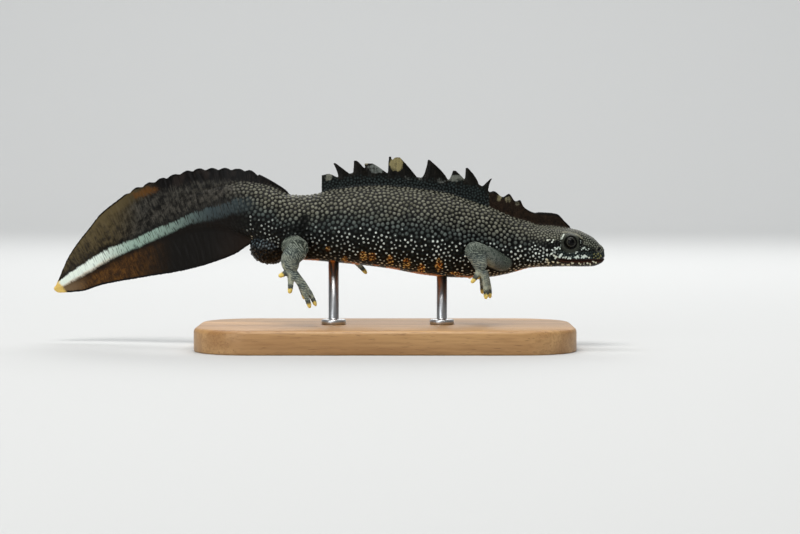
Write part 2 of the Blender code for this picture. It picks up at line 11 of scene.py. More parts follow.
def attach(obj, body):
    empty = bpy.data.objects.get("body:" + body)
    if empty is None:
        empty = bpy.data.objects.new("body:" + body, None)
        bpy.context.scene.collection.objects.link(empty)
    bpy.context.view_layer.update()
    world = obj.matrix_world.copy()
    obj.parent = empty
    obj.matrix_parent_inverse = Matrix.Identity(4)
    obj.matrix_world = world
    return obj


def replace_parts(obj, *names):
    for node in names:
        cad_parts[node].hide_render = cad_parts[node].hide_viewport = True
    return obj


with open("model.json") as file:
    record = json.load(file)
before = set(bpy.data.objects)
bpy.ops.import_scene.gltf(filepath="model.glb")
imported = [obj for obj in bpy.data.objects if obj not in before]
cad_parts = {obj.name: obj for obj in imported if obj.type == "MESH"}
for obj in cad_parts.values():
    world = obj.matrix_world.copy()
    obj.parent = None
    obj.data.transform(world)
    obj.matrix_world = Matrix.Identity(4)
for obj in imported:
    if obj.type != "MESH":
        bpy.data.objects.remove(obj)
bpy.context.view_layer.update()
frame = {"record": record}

# The trunk and the muscle of the tail
# In life this is one length of flesh under a loose, warty skin, and its tail swings to the left.
# It is a closed loft through cross-sections between the lines of back, belly and flanks.
MM = 0.001
SNOUT_X = 58.44
TAIL_TIP_X = -60.6
ORIGIN_SHIFT = -(SNOUT_X + TAIL_TIP_X) / 2
BACK = (
    (44, 26.1), (42.6, 26.6), (38.8, 27.8), (34.7, 29.6), (30, 31.2), (23.6, 33.1), (15, 34.1),
    (10.8, 34.35), (2.3, 33.7), (-5.5, 32.3), (-8.5, 32.5), (-12.8, 34.3), (-18.9, 35),
    (-27.7, 33.5), (-36.7, 29.8), (-45.8, 23.7), (-52.6, 18.6), (-57, 15.3), (TAIL_TIP_X, 12.2),
)
BELLY = (
    (44, 17.3), (42.6, 17.1), (40.2, 16.4), (37.6, 15.7), (34, 15.1), (29.1, 14.95), (25.5, 15.05),
    (20.6, 15.5), (12.8, 16.9), (5.5, 17.8), (-3.3, 18.6), (-6.2, 18.8), (-8.3, 19.3), (-13, 21.6),
    (-16.6, 23.2), (-23.4, 25.3), (-27.7, 25.1), (-32.2, 23.8), (-44.9, 18.5), (-51.2, 15.2),
    (-56, 13), (TAIL_TIP_X, 11.4),
)
HALF_WIDTH = (
    (44, 5.3), (42.6, 5), (38.8, 4.9), (36.3, 5.4), (33, 6.2), (28, 7.1), (20, 7.7), (12, 7.6),
    (5, 7.1), (0, 6.3), (-4, 5.6), (-7.5, 5.4), (-11, 4.9), (-16.5, 3.7), (-22, 2.9), (-27.7, 2.4),
    (-39, 1.65), (-50.4, 1.1), (-57, 0.7), (TAIL_TIP_X, 0.35),
)
WIDEST = ((44, 0.46), (10, 0.44), (-14, 0.5), (TAIL_TIP_X, 0.5))
# How round the cross-section is: 1 is an ellipse, less is boxier and more is lens-shaped
ROUNDNESS = (
    (44, 0.95), (28, 1.08), (12, 1.1), (0, 1), (-8, 0.95), (-14, 1), (-20, 1.25), (-30, 1.4),
    (-45, 1.3), (TAIL_TIP_X, 1),
)
TRUNK_FRONT_X = 43.4
TRUNK_STEP = 0.4
TRUNK_SIDES = 72
SWING_START_X = -12
TAIL_SWING = 14


def line_through(table):
    """A smooth line through (x, size) points that rises and falls only where they do."""
    xs, sizes = np.array(sorted(table), float).T
    steps = np.diff(xs)
    rises = np.diff(sizes) / steps
    before, after = rises[:-1], rises[1:]
    same_way = before * after > 0
    middle = np.where(same_way, 2 * before * after / np.where(same_way, before + after, 1), 0)
    slopes = np.concatenate((rises[:1], middle, rises[-1:]))

    def at(x):
        x = np.clip(x, xs[0], xs[-1])
        i = np.clip(np.searchsorted(xs, x) - 1, 0, len(steps) - 1)
        t = (x - xs[i]) / steps[i]
        bend = steps[i] * t * (1 - t) * (slopes[i] * (1 - t) - slopes[i + 1] * t)
        return sizes[i] + (sizes[i + 1] - sizes[i]) * t * t * (3 - 2 * t) + bend

    return at


def spaced(start, end, step):
    """Even places from start to end, both included, about one step apart."""
    return np.linspace(start, end, max(1, round(abs(end - start) / step)) + 1)


def swing(x):
    """How far the middle of the body lies to the animal's left at x."""
    share = np.maximum(0, SWING_START_X - x) / (SWING_START_X - TAIL_TIP_X)
    return TAIL_SWING * share * share * (3 - 2 * share)


def signed_power(value, power):
    return np.abs(value) ** power * np.sign(value)


back = line_through(BACK)
belly = line_through(BELLY)
half_width = line_through(HALF_WIDTH)
widest = line_through(WIDEST)
roundness = line_through(ROUNDNESS)
forms = {}


def loft_faces(count, sides):
    """The two end faces and then the side faces of a loft through rings of equal count."""
    faces = [list(range(sides)), list(range((count - 1) * sides, count * sides))]
    for k in range(count - 1):
        for i in range(sides):
            a, b = k * sides + i, k * sides + (i + 1) % sides
            faces.append([a, b, b + sides, a + sides])
    return faces


def add_form(name, rings):
    """Keeps a closed loft through the rings as one of the forms under the skin."""
    rings = np.array(rings, float)
    forms[name] = (rings.reshape(-1, 3), loft_faces(*rings.shape[:2]))


def trunk_ring(x):
    top, bottom = back(x), belly(x)
    middle = bottom + (top - bottom) * widest(x)
    turn = np.arange(TRUNK_SIDES) * 2 * pi / TRUNK_SIDES
    height = np.where(np.cos(turn) > 0, top - middle, middle - bottom)
    out = half_width(x) * signed_power(np.sin(turn), roundness(x))
    return np.stack((np.full(TRUNK_SIDES, x), swing(x) - out, middle + height * np.cos(turn)), 1)


add_form("trunk", [trunk_ring(x) for x in spaced(TRUNK_FRONT_X, TAIL_TIP_X, TRUNK_STEP)])

# The head
# In life a broad, low skull under thin skin, with full cheeks and a flat lower jaw.
# It is a loft too, whose cross-section has a rounded crown above the lips and a shallow jaw below.
HEAD_REAR_X = 41.6
# The lines of the head count in front of this, and those of the trunk behind it
HEAD_LINES_X = 43
HEAD_TOP = (
    (41.6, 26.9), (42.6, 26.6), (44.4, 26), (47.7, 25.8), (50.2, 25.45), (52.6, 25.1), (54.2, 24.45),
    (56, 23.5), (57.5, 22), (58.2, 21.4), (SNOUT_X, 20.9),
)
HEAD_BOTTOM = (
    (41.6, 16.95), (42.6, 17.1), (44.4, 17.35), (50, 17.45), (54, 17.4), (55.7, 17.4), (56.8, 17.65),
    (57.6, 18), (58.1, 18.35), (SNOUT_X, 18.8),
)
HEAD_HALF_WIDTH = (
    (41.6, 4.9), (42.6, 5), (44, 5.5), (46, 5.85), (48, 5.7), (50, 5.2), (52, 4.65), (54, 4.1),
    (56, 3.3), (57.5, 2.3), (58.2, 1.45), (SNOUT_X, 0.8),
)
MOUTH = (
    (41.6, 21.8), (42.6, 21.4), (45.5, 20.3), (48.2, 19.2), (50, 18.8), (54, 18.7), (57.5, 18.75),
    (58.1, 18.85), (SNOUT_X, 19.15),
)
HEAD_STEP = 0.35
CROWN_POINTS = 26
JAW_POINTS = 14
HEAD_BOXY = 0.82
JAW_BOXY = 0.62
EYE = (51, 3.75, 22.5)
EYE_MOUND = 0.22
EYE_MOUND_SPREAD = 1.5
head_top = line_through(HEAD_TOP)
head_bottom = line_through(HEAD_BOTTOM)
head_half_width = line_through(HEAD_HALF_WIDTH)
mouth = line_through(MOUTH)


def head_ring(x):
    top, bottom, half, lip = head_top(x), head_bottom(x), head_half_width(x), mouth(x)
    turn = np.linspace(0, pi / 2, CROWN_POINTS)
    crown_z = lip + (top - lip) * np.cos(turn) ** HEAD_BOXY
    away = (x - EYE[0]) ** 2 + (crown_z - EYE[2]) ** 2
    crown_out = half * np.sin(turn) ** HEAD_BOXY
    crown_out[1:] += EYE_MOUND * np.exp(-away[1:] / (2 * EYE_MOUND_SPREAD ** 2))
    fall = np.linspace(0, pi / 2, JAW_POINTS)[1:]
    jaw_z = lip - (lip - bottom) * np.sin(fall) ** JAW_BOXY
    jaw_out = half * np.cos(fall).clip(0) ** JAW_BOXY
    out = np.concatenate((crown_out, jaw_out))
    z = np.concatenate((crown_z, jaw_z))
    right = np.stack((np.full(len(out), x), -out, z), 1)
    left = (right * (1, -1, 1))[-2:0:-1]
    return np.concatenate((right, left))


add_form("head", [head_ring(x) for x in spaced(HEAD_REAR_X, SNOUT_X, HEAD_STEP)])

# The swelling round the vent
# In a male in breeding dress the glands under the root of the tail swell to a dark, round lump.
# It is an ellipsoid sunk half way into the trunk.
VENT = (-12.5, 0, 21.2)
VENT_RADII = (4.15, 3.65, 3.35)
BALL_STEPS = 32


def ball_rings(centre, radii, along, across, upward):
    """Rings of an ellipsoid, from one end to the other of its first axis."""
    rings = []
    for lean in np.linspace(-pi / 2 + 0.02, pi / 2 - 0.02, BALL_STEPS):
        turn = np.arange(BALL_STEPS) * 2 * pi / BALL_STEPS
        ring = np.array(centre) + np.outer(np.full(BALL_STEPS, radii[0] * sin(lean)), along)
        ring = ring + np.outer(radii[1] * cos(lean) * np.cos(turn), across)
        rings.append(ring + np.outer(radii[2] * cos(lean) * np.sin(turn), upward))
    return rings


add_form("vent", ball_rings(VENT, VENT_RADII, (1, 0, 0), (0, 1, 0), (0, 0, 1)))

# The legs, feet, fingers and toes
# In life they hang slack as the animal swims, four fingers in front and five toes behind.
# Each is a tube along a smooth spine, and the skin later runs over all of them without a seam.
FRONT_LEG = (
    (38, -2.6, 18.2), (35.6, -4.6, 18.7), (31.6, -8.6, 20.9), (30.3, -9.15, 20.9), (31.5, -9.3, 18.9),
    (32.1, -9.1, 16.8),
)
FRONT_RADII = (1.9, 1.75, 1.7, 1.8, 1.6, 1.35)
FRONT_DIGITS = (
    ((31.2, -9.5, 16.8), (29.9, -9.9, 14.3), 0.56), ((32.5, -9.5, 16.6), (32.95, -9.9, 10.9), 0.66),
    ((32.9, -8.8, 16.7), (33.9, -8.2, 11), 0.58), ((31.6, -8.5, 16.6), (31.2, -7.6, 15), 0.52),
)
HIND_LEG = (
    (-8, -2, 21.9), (-7.6, -3.5, 21.6), (-6.2, -8.3, 21.5), (-6.4, -9, 20.9), (-7.7, -9.1, 19.2),
    (-7.5, -8.9, 16.4),
)
HIND_RADII = (2.4, 2.3, 2.15, 2.2, 2, 1.7)
HIND_DIGITS = (
    ((-8.5, -9.3, 17), (-10.2, -9.9, 15.7), 0.6), ((-8, -9.6, 16.4), (-7.9, -10.3, 12.1), 0.64),
    ((-6.9, -9.4, 16), (-3.6, -10.1, 9), 0.64), ((-6.5, -8.8, 16), (-2.4, -8.9, 9.4), 0.62),
    ((-7, -8.2, 16.2), (-4.9, -7.4, 10.7), 0.55),
)
HIND_LEG_LEFT = (
    (-8, 2, 21.9), (-7.6, 3.5, 21.6), (-3.1, 8.7, 21.7), (-2.2, 9.2, 21.6), (0.2, 9.7, 20.8),
    (3.1, 9.7, 19.8),
)
HIND_DIGITS_LEFT = (
    ((2.6, 9.2, 19.2), (3.6, 8.3, 17.6), 0.58), ((3.5, 9.5, 19.2), (7.9, 9.2, 15.3), 0.62),
    ((4, 9.8, 19.6), (10.4, 10.1, 17.9), 0.64), ((4, 10.1, 20), (10.9, 11.2, 19.9), 0.62),
    ((3.4, 10.3, 20.4), (8.6, 12.3, 21.6), 0.56),
)
LIMB_STEP = 0.3
LIMB_SIDES = 28
PALM_FLATNESS = 0.72
DOME_START = 0.4
DIGIT_SIDES = 18
DIGIT_BOW = 0.05
DIGIT_SINK = 0.35
DIGIT_SWELLS = (
    (0, 1.4), (0.12, 1.15), (0.24, 1), (0.36, 1.02), (0.46, 0.9), (0.62, 0.93), (0.74, 0.82), (0.86, 0.8),
    (0.94, 0.66), (0.985, 0.42), (1, 0.15),
)
spines = {}


def curve_through(knots):
    """Points along a smooth curve through the knots, and each one's place counted in knots."""
    knots = np.array(knots, float)
    padded = np.concatenate((2 * knots[:1] - knots[1:2], knots, 2 * knots[-1:] - knots[-2:-1]))
    points, places = [], []
    for i in range(len(knots) - 1):
        a, b, c, d = padded[i:i + 4]
        stops = spaced(0, 1, LIMB_STEP / np.linalg.norm(c - b))
        for t in stops if i == len(knots) - 2 else stops[:-1]:
            bend = (2 * a - 5 * b + 4 * c - d) * t + (3 * b - 3 * c + d - a) * t * t
            points.append(b + 0.5 * t * (c - a + bend))
            places.append(i + t)
    return np.array(points), np.array(places)


def tube(name, points, radii, sides, flat):
    """A tube along a spine, narrower across than along the body by the flat share."""
    ways = np.gradient(points, axis=0)
    rings = []
    for point, way, radius, share in zip(points, ways, radii, flat):
        way = Vector(way).normalized()
        reference = Vector((0, 1, 0)) if abs(way.y) < 0.85 else Vector((1, 0, 0))
        wide = np.array(way.cross(reference).normalized())
        deep = np.array(way.cross(Vector(wide)).normalized())
        turn = np.arange(sides) * 2 * pi / sides
        rings.append(point + radius * (np.outer(np.cos(turn), wide) + share * np.outer(np.sin(turn), deep)))
    add_form(name, rings)
    spines[name] = points


def mixed(first, second, share):
    return first + (second - first) * share


def make_leg(name, knots, radii, digits):
    points, places = curve_through(knots)
    sizes = np.interp(places, range(len(radii)), radii)
    flat = np.interp(places, (len(knots) - 3, len(knots) - 1), (1, PALM_FLATNESS))
    # The two ends close in a dome
    ends = np.minimum(np.arange(len(points)), np.arange(len(points))[::-1]) + DOME_START
    dome = np.sqrt(1 - (1 - np.minimum(1, ends * LIMB_STEP / sizes)) ** 2)
    tube(name, points, sizes * dome, LIMB_SIDES, flat)
    for number, (root, tip, radius) in enumerate(digits):
        root = mixed(np.array(root, float), np.array(knots[-1], float), DIGIT_SINK)
        tip = np.array(tip, float)
        share = spaced(0, 1, LIMB_STEP / np.linalg.norm(tip - root))
        share = np.concatenate((share[:-1], (DIGIT_SWELLS[-2][0], 1)))
        side = np.cross(tip - root, (0, 1, 0))
        bow = side / np.linalg.norm(side) * np.linalg.norm(tip - root) * DIGIT_BOW
        points = root + np.outer(share, tip - root) + np.outer(4 * share * (1 - share), bow)
        shares, swells = np.array(DIGIT_SWELLS).T
        tube(f"{name}_digit_{number}", points, radius * np.interp(share, shares, swells), DIGIT_SIDES,
             np.ones(len(points)))


def mirrored(point):
    return (point[0], -point[1], point[2])


make_leg("front_right", FRONT_LEG, FRONT_RADII, FRONT_DIGITS)
make_leg("front_left", [mirrored(p) for p in FRONT_LEG], FRONT_RADII,
         [(mirrored(a), mirrored(b), radius) for a, b, radius in FRONT_DIGITS])
make_leg("hind_right", HIND_LEG, HIND_RADII, HIND_DIGITS)
make_leg("hind_left", HIND_LEG_LEFT, HIND_RADII, HIND_DIGITS_LEFT)

# The crest of the back and nape
# In life a thin upright fold of skin, deeply toothed along the back and low over the neck.
# It is an upright strip rooted in the back, with each tooth a flat horn sunk in it.
CREST_VALLEYS = (
    (-1.5, 36.7), (0, 37), (2.3, 36.2), (5.1, 37.2), (8.1, 36.8), (12.7, 36.7), (18.7, 36.3),
    (25, 35.8), (28.9, 35.5), (31.7, 34.8), (33.95, 33.4),
)
# Each tooth: rear and front root, rear and front tip, height, then how its two edges curve.
# The tallest tooth has a notch in its tip, so it is two rows.
CREST_TEETH = (
    (2, 5.4, 0.9, 1.4, 39.3, 1.4, 1.05), (5, 8.3, 5.3, 6, 39.8, 0.4, 1.45),
    (8, 12.8, 7.5, 9.4, 39.2, 1, 1.2), (12.5, 14.5, 12.7, 13.2, 40.7, 1.3, 0.9),
    (12.6, 18.7, 14.1, 15.1, 40.5, 4, 1.1), (18.75, 25.2, 21, 21.35, 40, 0.35, 1.35),
    (25, 29, 26.3, 26.9, 37.7, 0.5, 1.2), (28.8, 31.8, 29, 29.5, 38.3, 1, 1.5),
    (31.6, 33.9, 34.3, 34.7, 36, 1, 2.2),
)
NAPE_EDGE = (
    (33.9, 33.2), (35, 33.35), (36.9, 32.1), (38.25, 32.8), (39.6, 31.2), (40.6, 31.5),
    (41.6, 30), (44, 28.9), (46.4, 28.8), (48.4, 28.5), (50.2, 26.8), (51.3, 25.75),
)
CREST_HALF_THICKNESS = (0.55, 0.42, 0.3)
TOOTH_HALF_THICKNESS = (0.34, 0.2)
TOOTH_SINK = 1.2
TOOTH_LEVELS = 18
# How far each tip leans to the animal's left
TOOTH_LEANS = (0.1, -0.22, 0.12, -0.1, -0.1, 0.24, -0.08, 0.2, -0.2)
STRIP_STEP = 0.25
STRIP_LEVELS = 12
STRIP_EDGE_SHARE = 0.45
ROOT_DEPTH = 1.4


def upright_strip(name, places, foot, edge, halves):
    """A thin upright fold of skin from below its foot line up to its rounded edge."""
    shares = np.linspace(0, 1, STRIP_LEVELS)
    rings = []
    for x in places:
        low, high = foot(x), edge(x)
        z = low + (high - low) * shares
        out = np.interp(shares, (0, 0.5, 1), np.minimum(halves, 0.9 * abs(high - low) + 0.12))
        out[-1] *= STRIP_EDGE_SHARE
        right = np.stack((np.full(STRIP_LEVELS, x), swing(x) - out, z), 1)
        left = np.stack((np.full(STRIP_LEVELS, x), swing(x) + out, z), 1)[::-1]
        rings.append(np.concatenate((right, left)))
    add_form(name, rings)


def tooth(name, row, valley, lean):
    rear, front, tip_rear, tip_front, height, rear_curve, front_curve = row
    foot_half, tip_half = TOOTH_HALF_THICKNESS
    rings = []
    for sunk, share in [(1, 0)] + [(0, t) for t in np.linspace(0, 1, TOOTH_LEVELS)]:
        z = valley - TOOTH_SINK * sunk + (height - valley) * share
        hind = rear + (tip_rear - rear) * share ** rear_curve
        fore = front + (tip_front - front) * share ** front_curve
        half = foot_half + (tip_half - foot_half) * share
        x = np.linspace(hind, fore, STRIP_LEVELS)
        out = half * (1 - 0.6 * np.abs(np.linspace(-1, 1, STRIP_LEVELS)) ** 3)
        level = np.full(STRIP_LEVELS, z)
        aside = lean * share ** 2
        right = np.stack((x, aside - out, level), 1)
        rings.append(np.concatenate((right, np.stack((x, aside + out, level), 1)[::-1])))
    add_form(name, rings)


valleys = line_through(CREST_VALLEYS)
nape_edge = line_through(NAPE_EDGE)
upright_strip("crest", spaced(CREST_VALLEYS[0][0], CREST_VALLEYS[-1][0], STRIP_STEP),
              lambda x: back(x) - ROOT_DEPTH, valleys, CREST_HALF_THICKNESS)
for number, row in enumerate(CREST_TEETH):
    tooth(f"crest_tooth_{number}", row, min(valleys(row[0]), valleys(row[1])), TOOTH_LEANS[number])
upright_strip("nape_fold", spaced(NAPE_EDGE[0][0], NAPE_EDGE[-1][0], STRIP_STEP),
              lambda x: np.where(x > HEAD_LINES_X, head_top(x), back(x)) - ROOT_DEPTH, nape_edge,
              CREST_HALF_THICKNESS)

# The fins of the tail
# In life two broad, thin folds of skin above and below the muscle, the upper one scalloped.
# They are upright strips like the crest.
UPPER_FIN = (
    (-8.3, 32.6), (-8.8, 33.3), (-10.4, 34.5), (-14.5, 36.8), (-17.5, 38), (-22.9, 38.3), (-27.5, 38.2),
    (-33.6, 36.9), (-40.6, 34.6), (-43.3, 33.4), (-46.1, 31.4), (-50.4, 28), (-52.5, 25.4),
    (-55.3, 22), (-57.6, 18.5), (-59.6, 13.9), (-60.2, 12.6),
)
LOWER_FIN = (
    (-15.6, 22.6), (-17.1, 21.8), (-19.8, 20), (-23.5, 18.5), (-27.4, 17.2), (-32.2, 16), (-40.1, 14.6),
    (-49.6, 12.8), (-55, 11.2), (-59.6, 10.95), (-60.3, 11.3),
)
FIN_HALF_THICKNESS = (0.6, 0.4, 0.27)
SCALLOP_ENDS = (-15, -44.8)
SCALLOP_LENGTH = 2.85
SCALLOP_DEPTH = 0.5
upper_edge = line_through(UPPER_FIN)
lower_edge = line_through(LOWER_FIN)


def scalloped(x):
    front, rear = SCALLOP_ENDS
    notch = 1 - abs(sin(pi * (front - x) / SCALLOP_LENGTH))
    return upper_edge(x) - SCALLOP_DEPTH * notch * (rear < x < front)


def under_tail(x):
    return belly(x) + min(ROOT_DEPTH, 0.4 * (back(x) - belly(x)))


def over_tail(x):
    return back(x) - min(ROOT_DEPTH, 0.4 * (back(x) - belly(x)))


upright_strip("upper_fin", spaced(UPPER_FIN[0][0], UPPER_FIN[-1][0], STRIP_STEP), over_tail, scalloped,
              FIN_HALF_THICKNESS)
upright_strip("lower_fin", spaced(LOWER_FIN[0][0], LOWER_FIN[-1][0], STRIP_STEP), under_tail, lower_edge,
              FIN_HALF_THICKNESS)

# The skin
# In life one moist skin covers body, crest, fins and legs, granular above and smooth below.
# All the forms are joined and covered by one even mesh, which is softened where they meet.
FINENESS = 0.14
SOFT_ROUNDS = 6
JOIN_REACH = 30
JOIN_ROUNDS = 60
DIGIT_JOIN_REACH = 12
DIGIT_JOIN_WEIGHT = 0.4
HEAD_FINE_X = 42
EYE_FINE_REACH = 2.7
HEAD_MASK_X = 42.6
NECK_JOIN = (40.4, 41.6, 43.6, 44.6)
TAIL_END_JOIN = (-58, -53)
LIMBS = ("front_right", "front_left", "hind_right", "hind_left")
KNEES = (FRONT_LEG[3], mirrored(FRONT_LEG[3]), HIND_LEG[3], HIND_LEG_LEFT[3])
KNEE_REACH = 1.6


def ease(value, low, high):
    """0 up to low and 1 from high on, with a soft slope between."""
    t = np.clip((value - low) / (high - low), 0, 1)
    return t * t * (3 - 2 * t)


def new_piece(name, points, faces):
    """An object from points in metres and faces."""
    mesh = bpy.data.meshes.new(name)
    mesh.from_pydata(points, [], faces)
    piece = bpy.data.objects.new(name, mesh)
    bpy.context.scene.collection.objects.link(piece)
    return piece


def forms_object():
    points = np.concatenate([p for p, _ in forms.values()])
    faces = []
    start = 0
    for form_points, form_faces in forms.values():
        faces += [[start + i for i in face] for face in form_faces]
        start += len(form_points)
    return new_piece("skin", (points + (ORIGIN_SHIFT, 0, 0)) * MM, faces)


def read_points(mesh):
    flat = np.empty(len(mesh.vertices) * 3, np.float32)
    mesh.vertices.foreach_get("co", flat)
    return flat.reshape(-1, 3) / MM - (ORIGIN_SHIFT, 0, 0)


def write_points(mesh, points):
    mesh.vertices.foreach_set("co", ((points + (ORIGIN_SHIFT, 0, 0)) * MM).astype(np.float32).ravel())
    mesh.update()


def read_normals(mesh):
    flat = np.empty(len(mesh.vertices) * 3, np.float32)
    mesh.vertex_normals.foreach_get("vector", flat)
    return flat.reshape(-1, 3).astype(float)


def read_edges(mesh):
    flat = np.empty(len(mesh.edges) * 2, np.int32)
    mesh.edges.foreach_get("vertices", flat)
    return flat.reshape(-1, 2)


def spread(values, edges, rounds):
    """Evens a number per point out over its neighbours, a few times."""
    ends = np.concatenate((edges[:, 0], edges[:, 1]))
    others = np.concatenate((edges[:, 1], edges[:, 0]))
    count = np.maximum(np.bincount(ends, minlength=len(values)), 1)
    for _ in range(rounds):
        values = 0.5 * values + 0.5 * np.bincount(ends, values[others], len(values)) / count
    return values


def tree_of(places):
    """A search tree that finds the nearest of these places by its number."""
    tree = KDTree(len(places))
    for i, place in enumerate(places.tolist()):
        tree.insert(place, i)
    tree.balance()
    return tree


def nearest_form(points):
    """The number of the form whose own surface lies nearest to each point."""
    tree = tree_of(np.concatenate([p for p, _ in forms.values()]))
    owners = np.repeat(range(len(forms)), [len(p) for p, _ in forms.values()])
    return owners[[tree.find(point)[1] for point in points.tolist()]]


def covers(*parts):
    """1 for the points that cover a form with one of these parts in its name."""
    mine = [i for i, name in enumerate(names) if any(part in name for part in parts)]
    return np.isin(form, mine).astype(float)


def near_joins(points, edges):
    """1 where the forms grow out of each other and at the knees, falling to 0 further off."""
    x = points[:, 0]
    weight = ease(x, *NECK_JOIN[:2]) * (1 - ease(x, *NECK_JOIN[2:]))
    for parts in (LIMBS, ("vent",), ("crest",), ("nape",), ("upper_fin",), ("lower_fin",)):
        share = spread(covers(*parts), edges, JOIN_REACH)
        weight = np.maximum(weight, 4 * share * (1 - share))
    share = spread(covers("digit"), edges, DIGIT_JOIN_REACH)
    weight = np.maximum(weight, DIGIT_JOIN_WEIGHT * 4 * share * (1 - share))
    for knee in KNEES:
        weight = np.maximum(weight, np.exp(-(np.linalg.norm(points - knee, axis=1) / KNEE_REACH) ** 2))
    return weight * ease(x, *TAIL_END_JOIN)


def even_out(mesh, rounds):
    """Smooths the mesh where its forms meet."""
    before = read_points(mesh)
    edges = read_edges(mesh)
    after = np.stack([spread(axis, edges, rounds) for axis in before.T], 1)
    write_points(mesh, before + (after - before) * near_joins(before, edges)[:, None])


def refine(mesh, chosen):
    """Halves every edge between two chosen points, which cuts the faces there into four."""
    shape = bmesh.new()
    shape.from_mesh(mesh)
    picked = chosen.tolist()
    edges = [e for e in shape.edges if picked[e.verts[0].index] and picked[e.verts[1].index]]
    bmesh.ops.subdivide_edges(shape, edges=edges, cuts=1, use_grid_fill=True)
    shape.to_mesh(mesh)
    shape.free()


def eye_centre(side):
    return np.array((EYE[0], side * EYE[1], EYE[2]))


def near_eyes(points, reach):
    return np.min([np.linalg.norm(points - eye_centre(side), axis=1) for side in (-1, 1)], 0) < reach


skin = forms_object()
cover = skin.modifiers.new("cover", "REMESH")
cover.mode = "VOXEL"
cover.voxel_size = FINENESS * MM
soften = skin.modifiers.new("soften", "SMOOTH")
soften.factor = 0.5
soften.iterations = SOFT_ROUNDS
covered = bpy.data.meshes.new_from_object(skin.evaluated_get(bpy.context.evaluated_depsgraph_get()))
skin.modifiers.clear()
skin.data = covered
names = list(forms)
form = nearest_form(read_points(covered))
even_out(covered, JOIN_ROUNDS)
refine(covered, (read_points(covered)[:, 0] > HEAD_FINE_X) | (covers(*LIMBS, "crest") > 0))
refine(covered, near_eyes(read_points(covered), EYE_FINE_REACH))

# The parts of the skin
# In life the skin changes its grain and colour from part to part.
# Each point learns which form it covers, then soft masks and measures are worked out from that.
MASK_ROUNDS = 14
NAPE_MASK_ROUNDS = 6
FIN_MASK_ROUNDS = 50
FAR = 99.0


def along_spine(points, spine):
    """The length from a spine's start to its place nearest each point."""
    lengths = np.concatenate(([0], np.cumsum(np.linalg.norm(np.diff(spine, axis=0), axis=1))))
    away = ((points[:, None] - spine[None]) ** 2).sum(2)
    i = np.clip(away.argmin(1), 1, len(spine) - 1)
    way = spine[i] - spine[i - 1]
    size = np.linalg.norm(way, axis=1)
    return lengths[i - 1] + ((points - spine[i - 1]) * way).sum(1) / size


points = read_points(covered)
edges = read_edges(covered)
form = nearest_form(points)
x, y, z = points.T
on_head = spread((x > HEAD_MASK_X).astype(float), edges, MASK_ROUNDS)
on_limb = spread(covers(*LIMBS), edges, MASK_ROUNDS)
on_crest = spread(covers("crest"), edges, MASK_ROUNDS)
on_nape = spread(covers("nape"), edges, NAPE_MASK_ROUNDS)
on_upper_fin = spread(covers("upper_fin"), edges, FIN_MASK_ROUNDS)
on_lower_fin = spread(covers("lower_fin"), edges, FIN_MASK_ROUNDS)
on_vent = spread(covers("vent"), edges, MASK_ROUNDS)
on_fold = np.maximum.reduce([on_crest, on_nape, on_upper_fin, on_lower_fin])
top_line = np.where(x > HEAD_LINES_X, head_top(x), back(x))
bottom_line = np.where(x > HEAD_LINES_X, head_bottom(x), belly(x))
down = np.clip((top_line - z) / (top_line - bottom_line), 0, 1)
from_eye = np.hypot(x - EYE[0], z - EYE[2])

# How far along its leg a point lies, and how far it is from the nearest tip of a finger or toe
along_leg = np.zeros(len(points))
to_tip = np.full(len(points), FAR)
for name, spine in spines.items():
    mine = form == names.index(name)
    along_leg[mine] = along_spine(points[mine], spine)
    if "digit" in name:
        to_tip = np.minimum(to_tip, np.linalg.norm(points - spine[-1], axis=1))

# How far below the edge of its fold of skin a point lies
below_edge = np.where(on_lower_fin > 0.3, z - lower_edge(x), 9)
below_edge = np.where(on_upper_fin > 0.3, upper_edge(x) - z, below_edge)
below_edge = np.where(on_nape > 0.5, nape_edge(x) - z, below_edge)
up_crest = np.clip((z - back(x)) / np.maximum(valleys(x) - back(x), 0.1), 0, 3)

# The stripe along the tail
# In life a silvery band on each side of the tail, bluish ahead and nearly white at the tip.
# It is a colour only, so each point learns its place across it, from -1 below to 1 above.
STRIPE = (
    (-17, 30.6), (-20, 30), (-23.3, 28.9), (-26.8, 28.2), (-30.4, 27), (-34, 25.4), (-37.6, 24),
    (-41.2, 22.3), (-44.9, 20.9), (-48.5, 19.3), (-51, 17.9), (-53.9, 16.2), (-57.5, 14),
    (TAIL_TIP_X, 11.9),
)
STRIPE_HALF = (
    (-18, 1.5), (-24, 1.4), (-28, 1.15), (-32, 1), (-36, 1.05), (-44, 1.05), (-48, 1.25), (-52, 1.3),
    (-55, 1.15), (-57.5, 1), (TAIL_TIP_X, 0.5),
)
stripe_way = (z - line_through(STRIPE)(x)) / line_through(STRIPE_HALF)(x)

# The features of the face
# In life small folds: lips along the mouth, two lids, a ridge from eye to nostril, a throat fold.
# Each is a soft stroke pressed into the skin or raised from it, alike on both sides of the head.
MOUTH_CORNER_X = 48.4
LIP_LINE = [(x, float(mouth(x))) for x in spaced(MOUTH_CORNER_X, SNOUT_X, 0.5)]
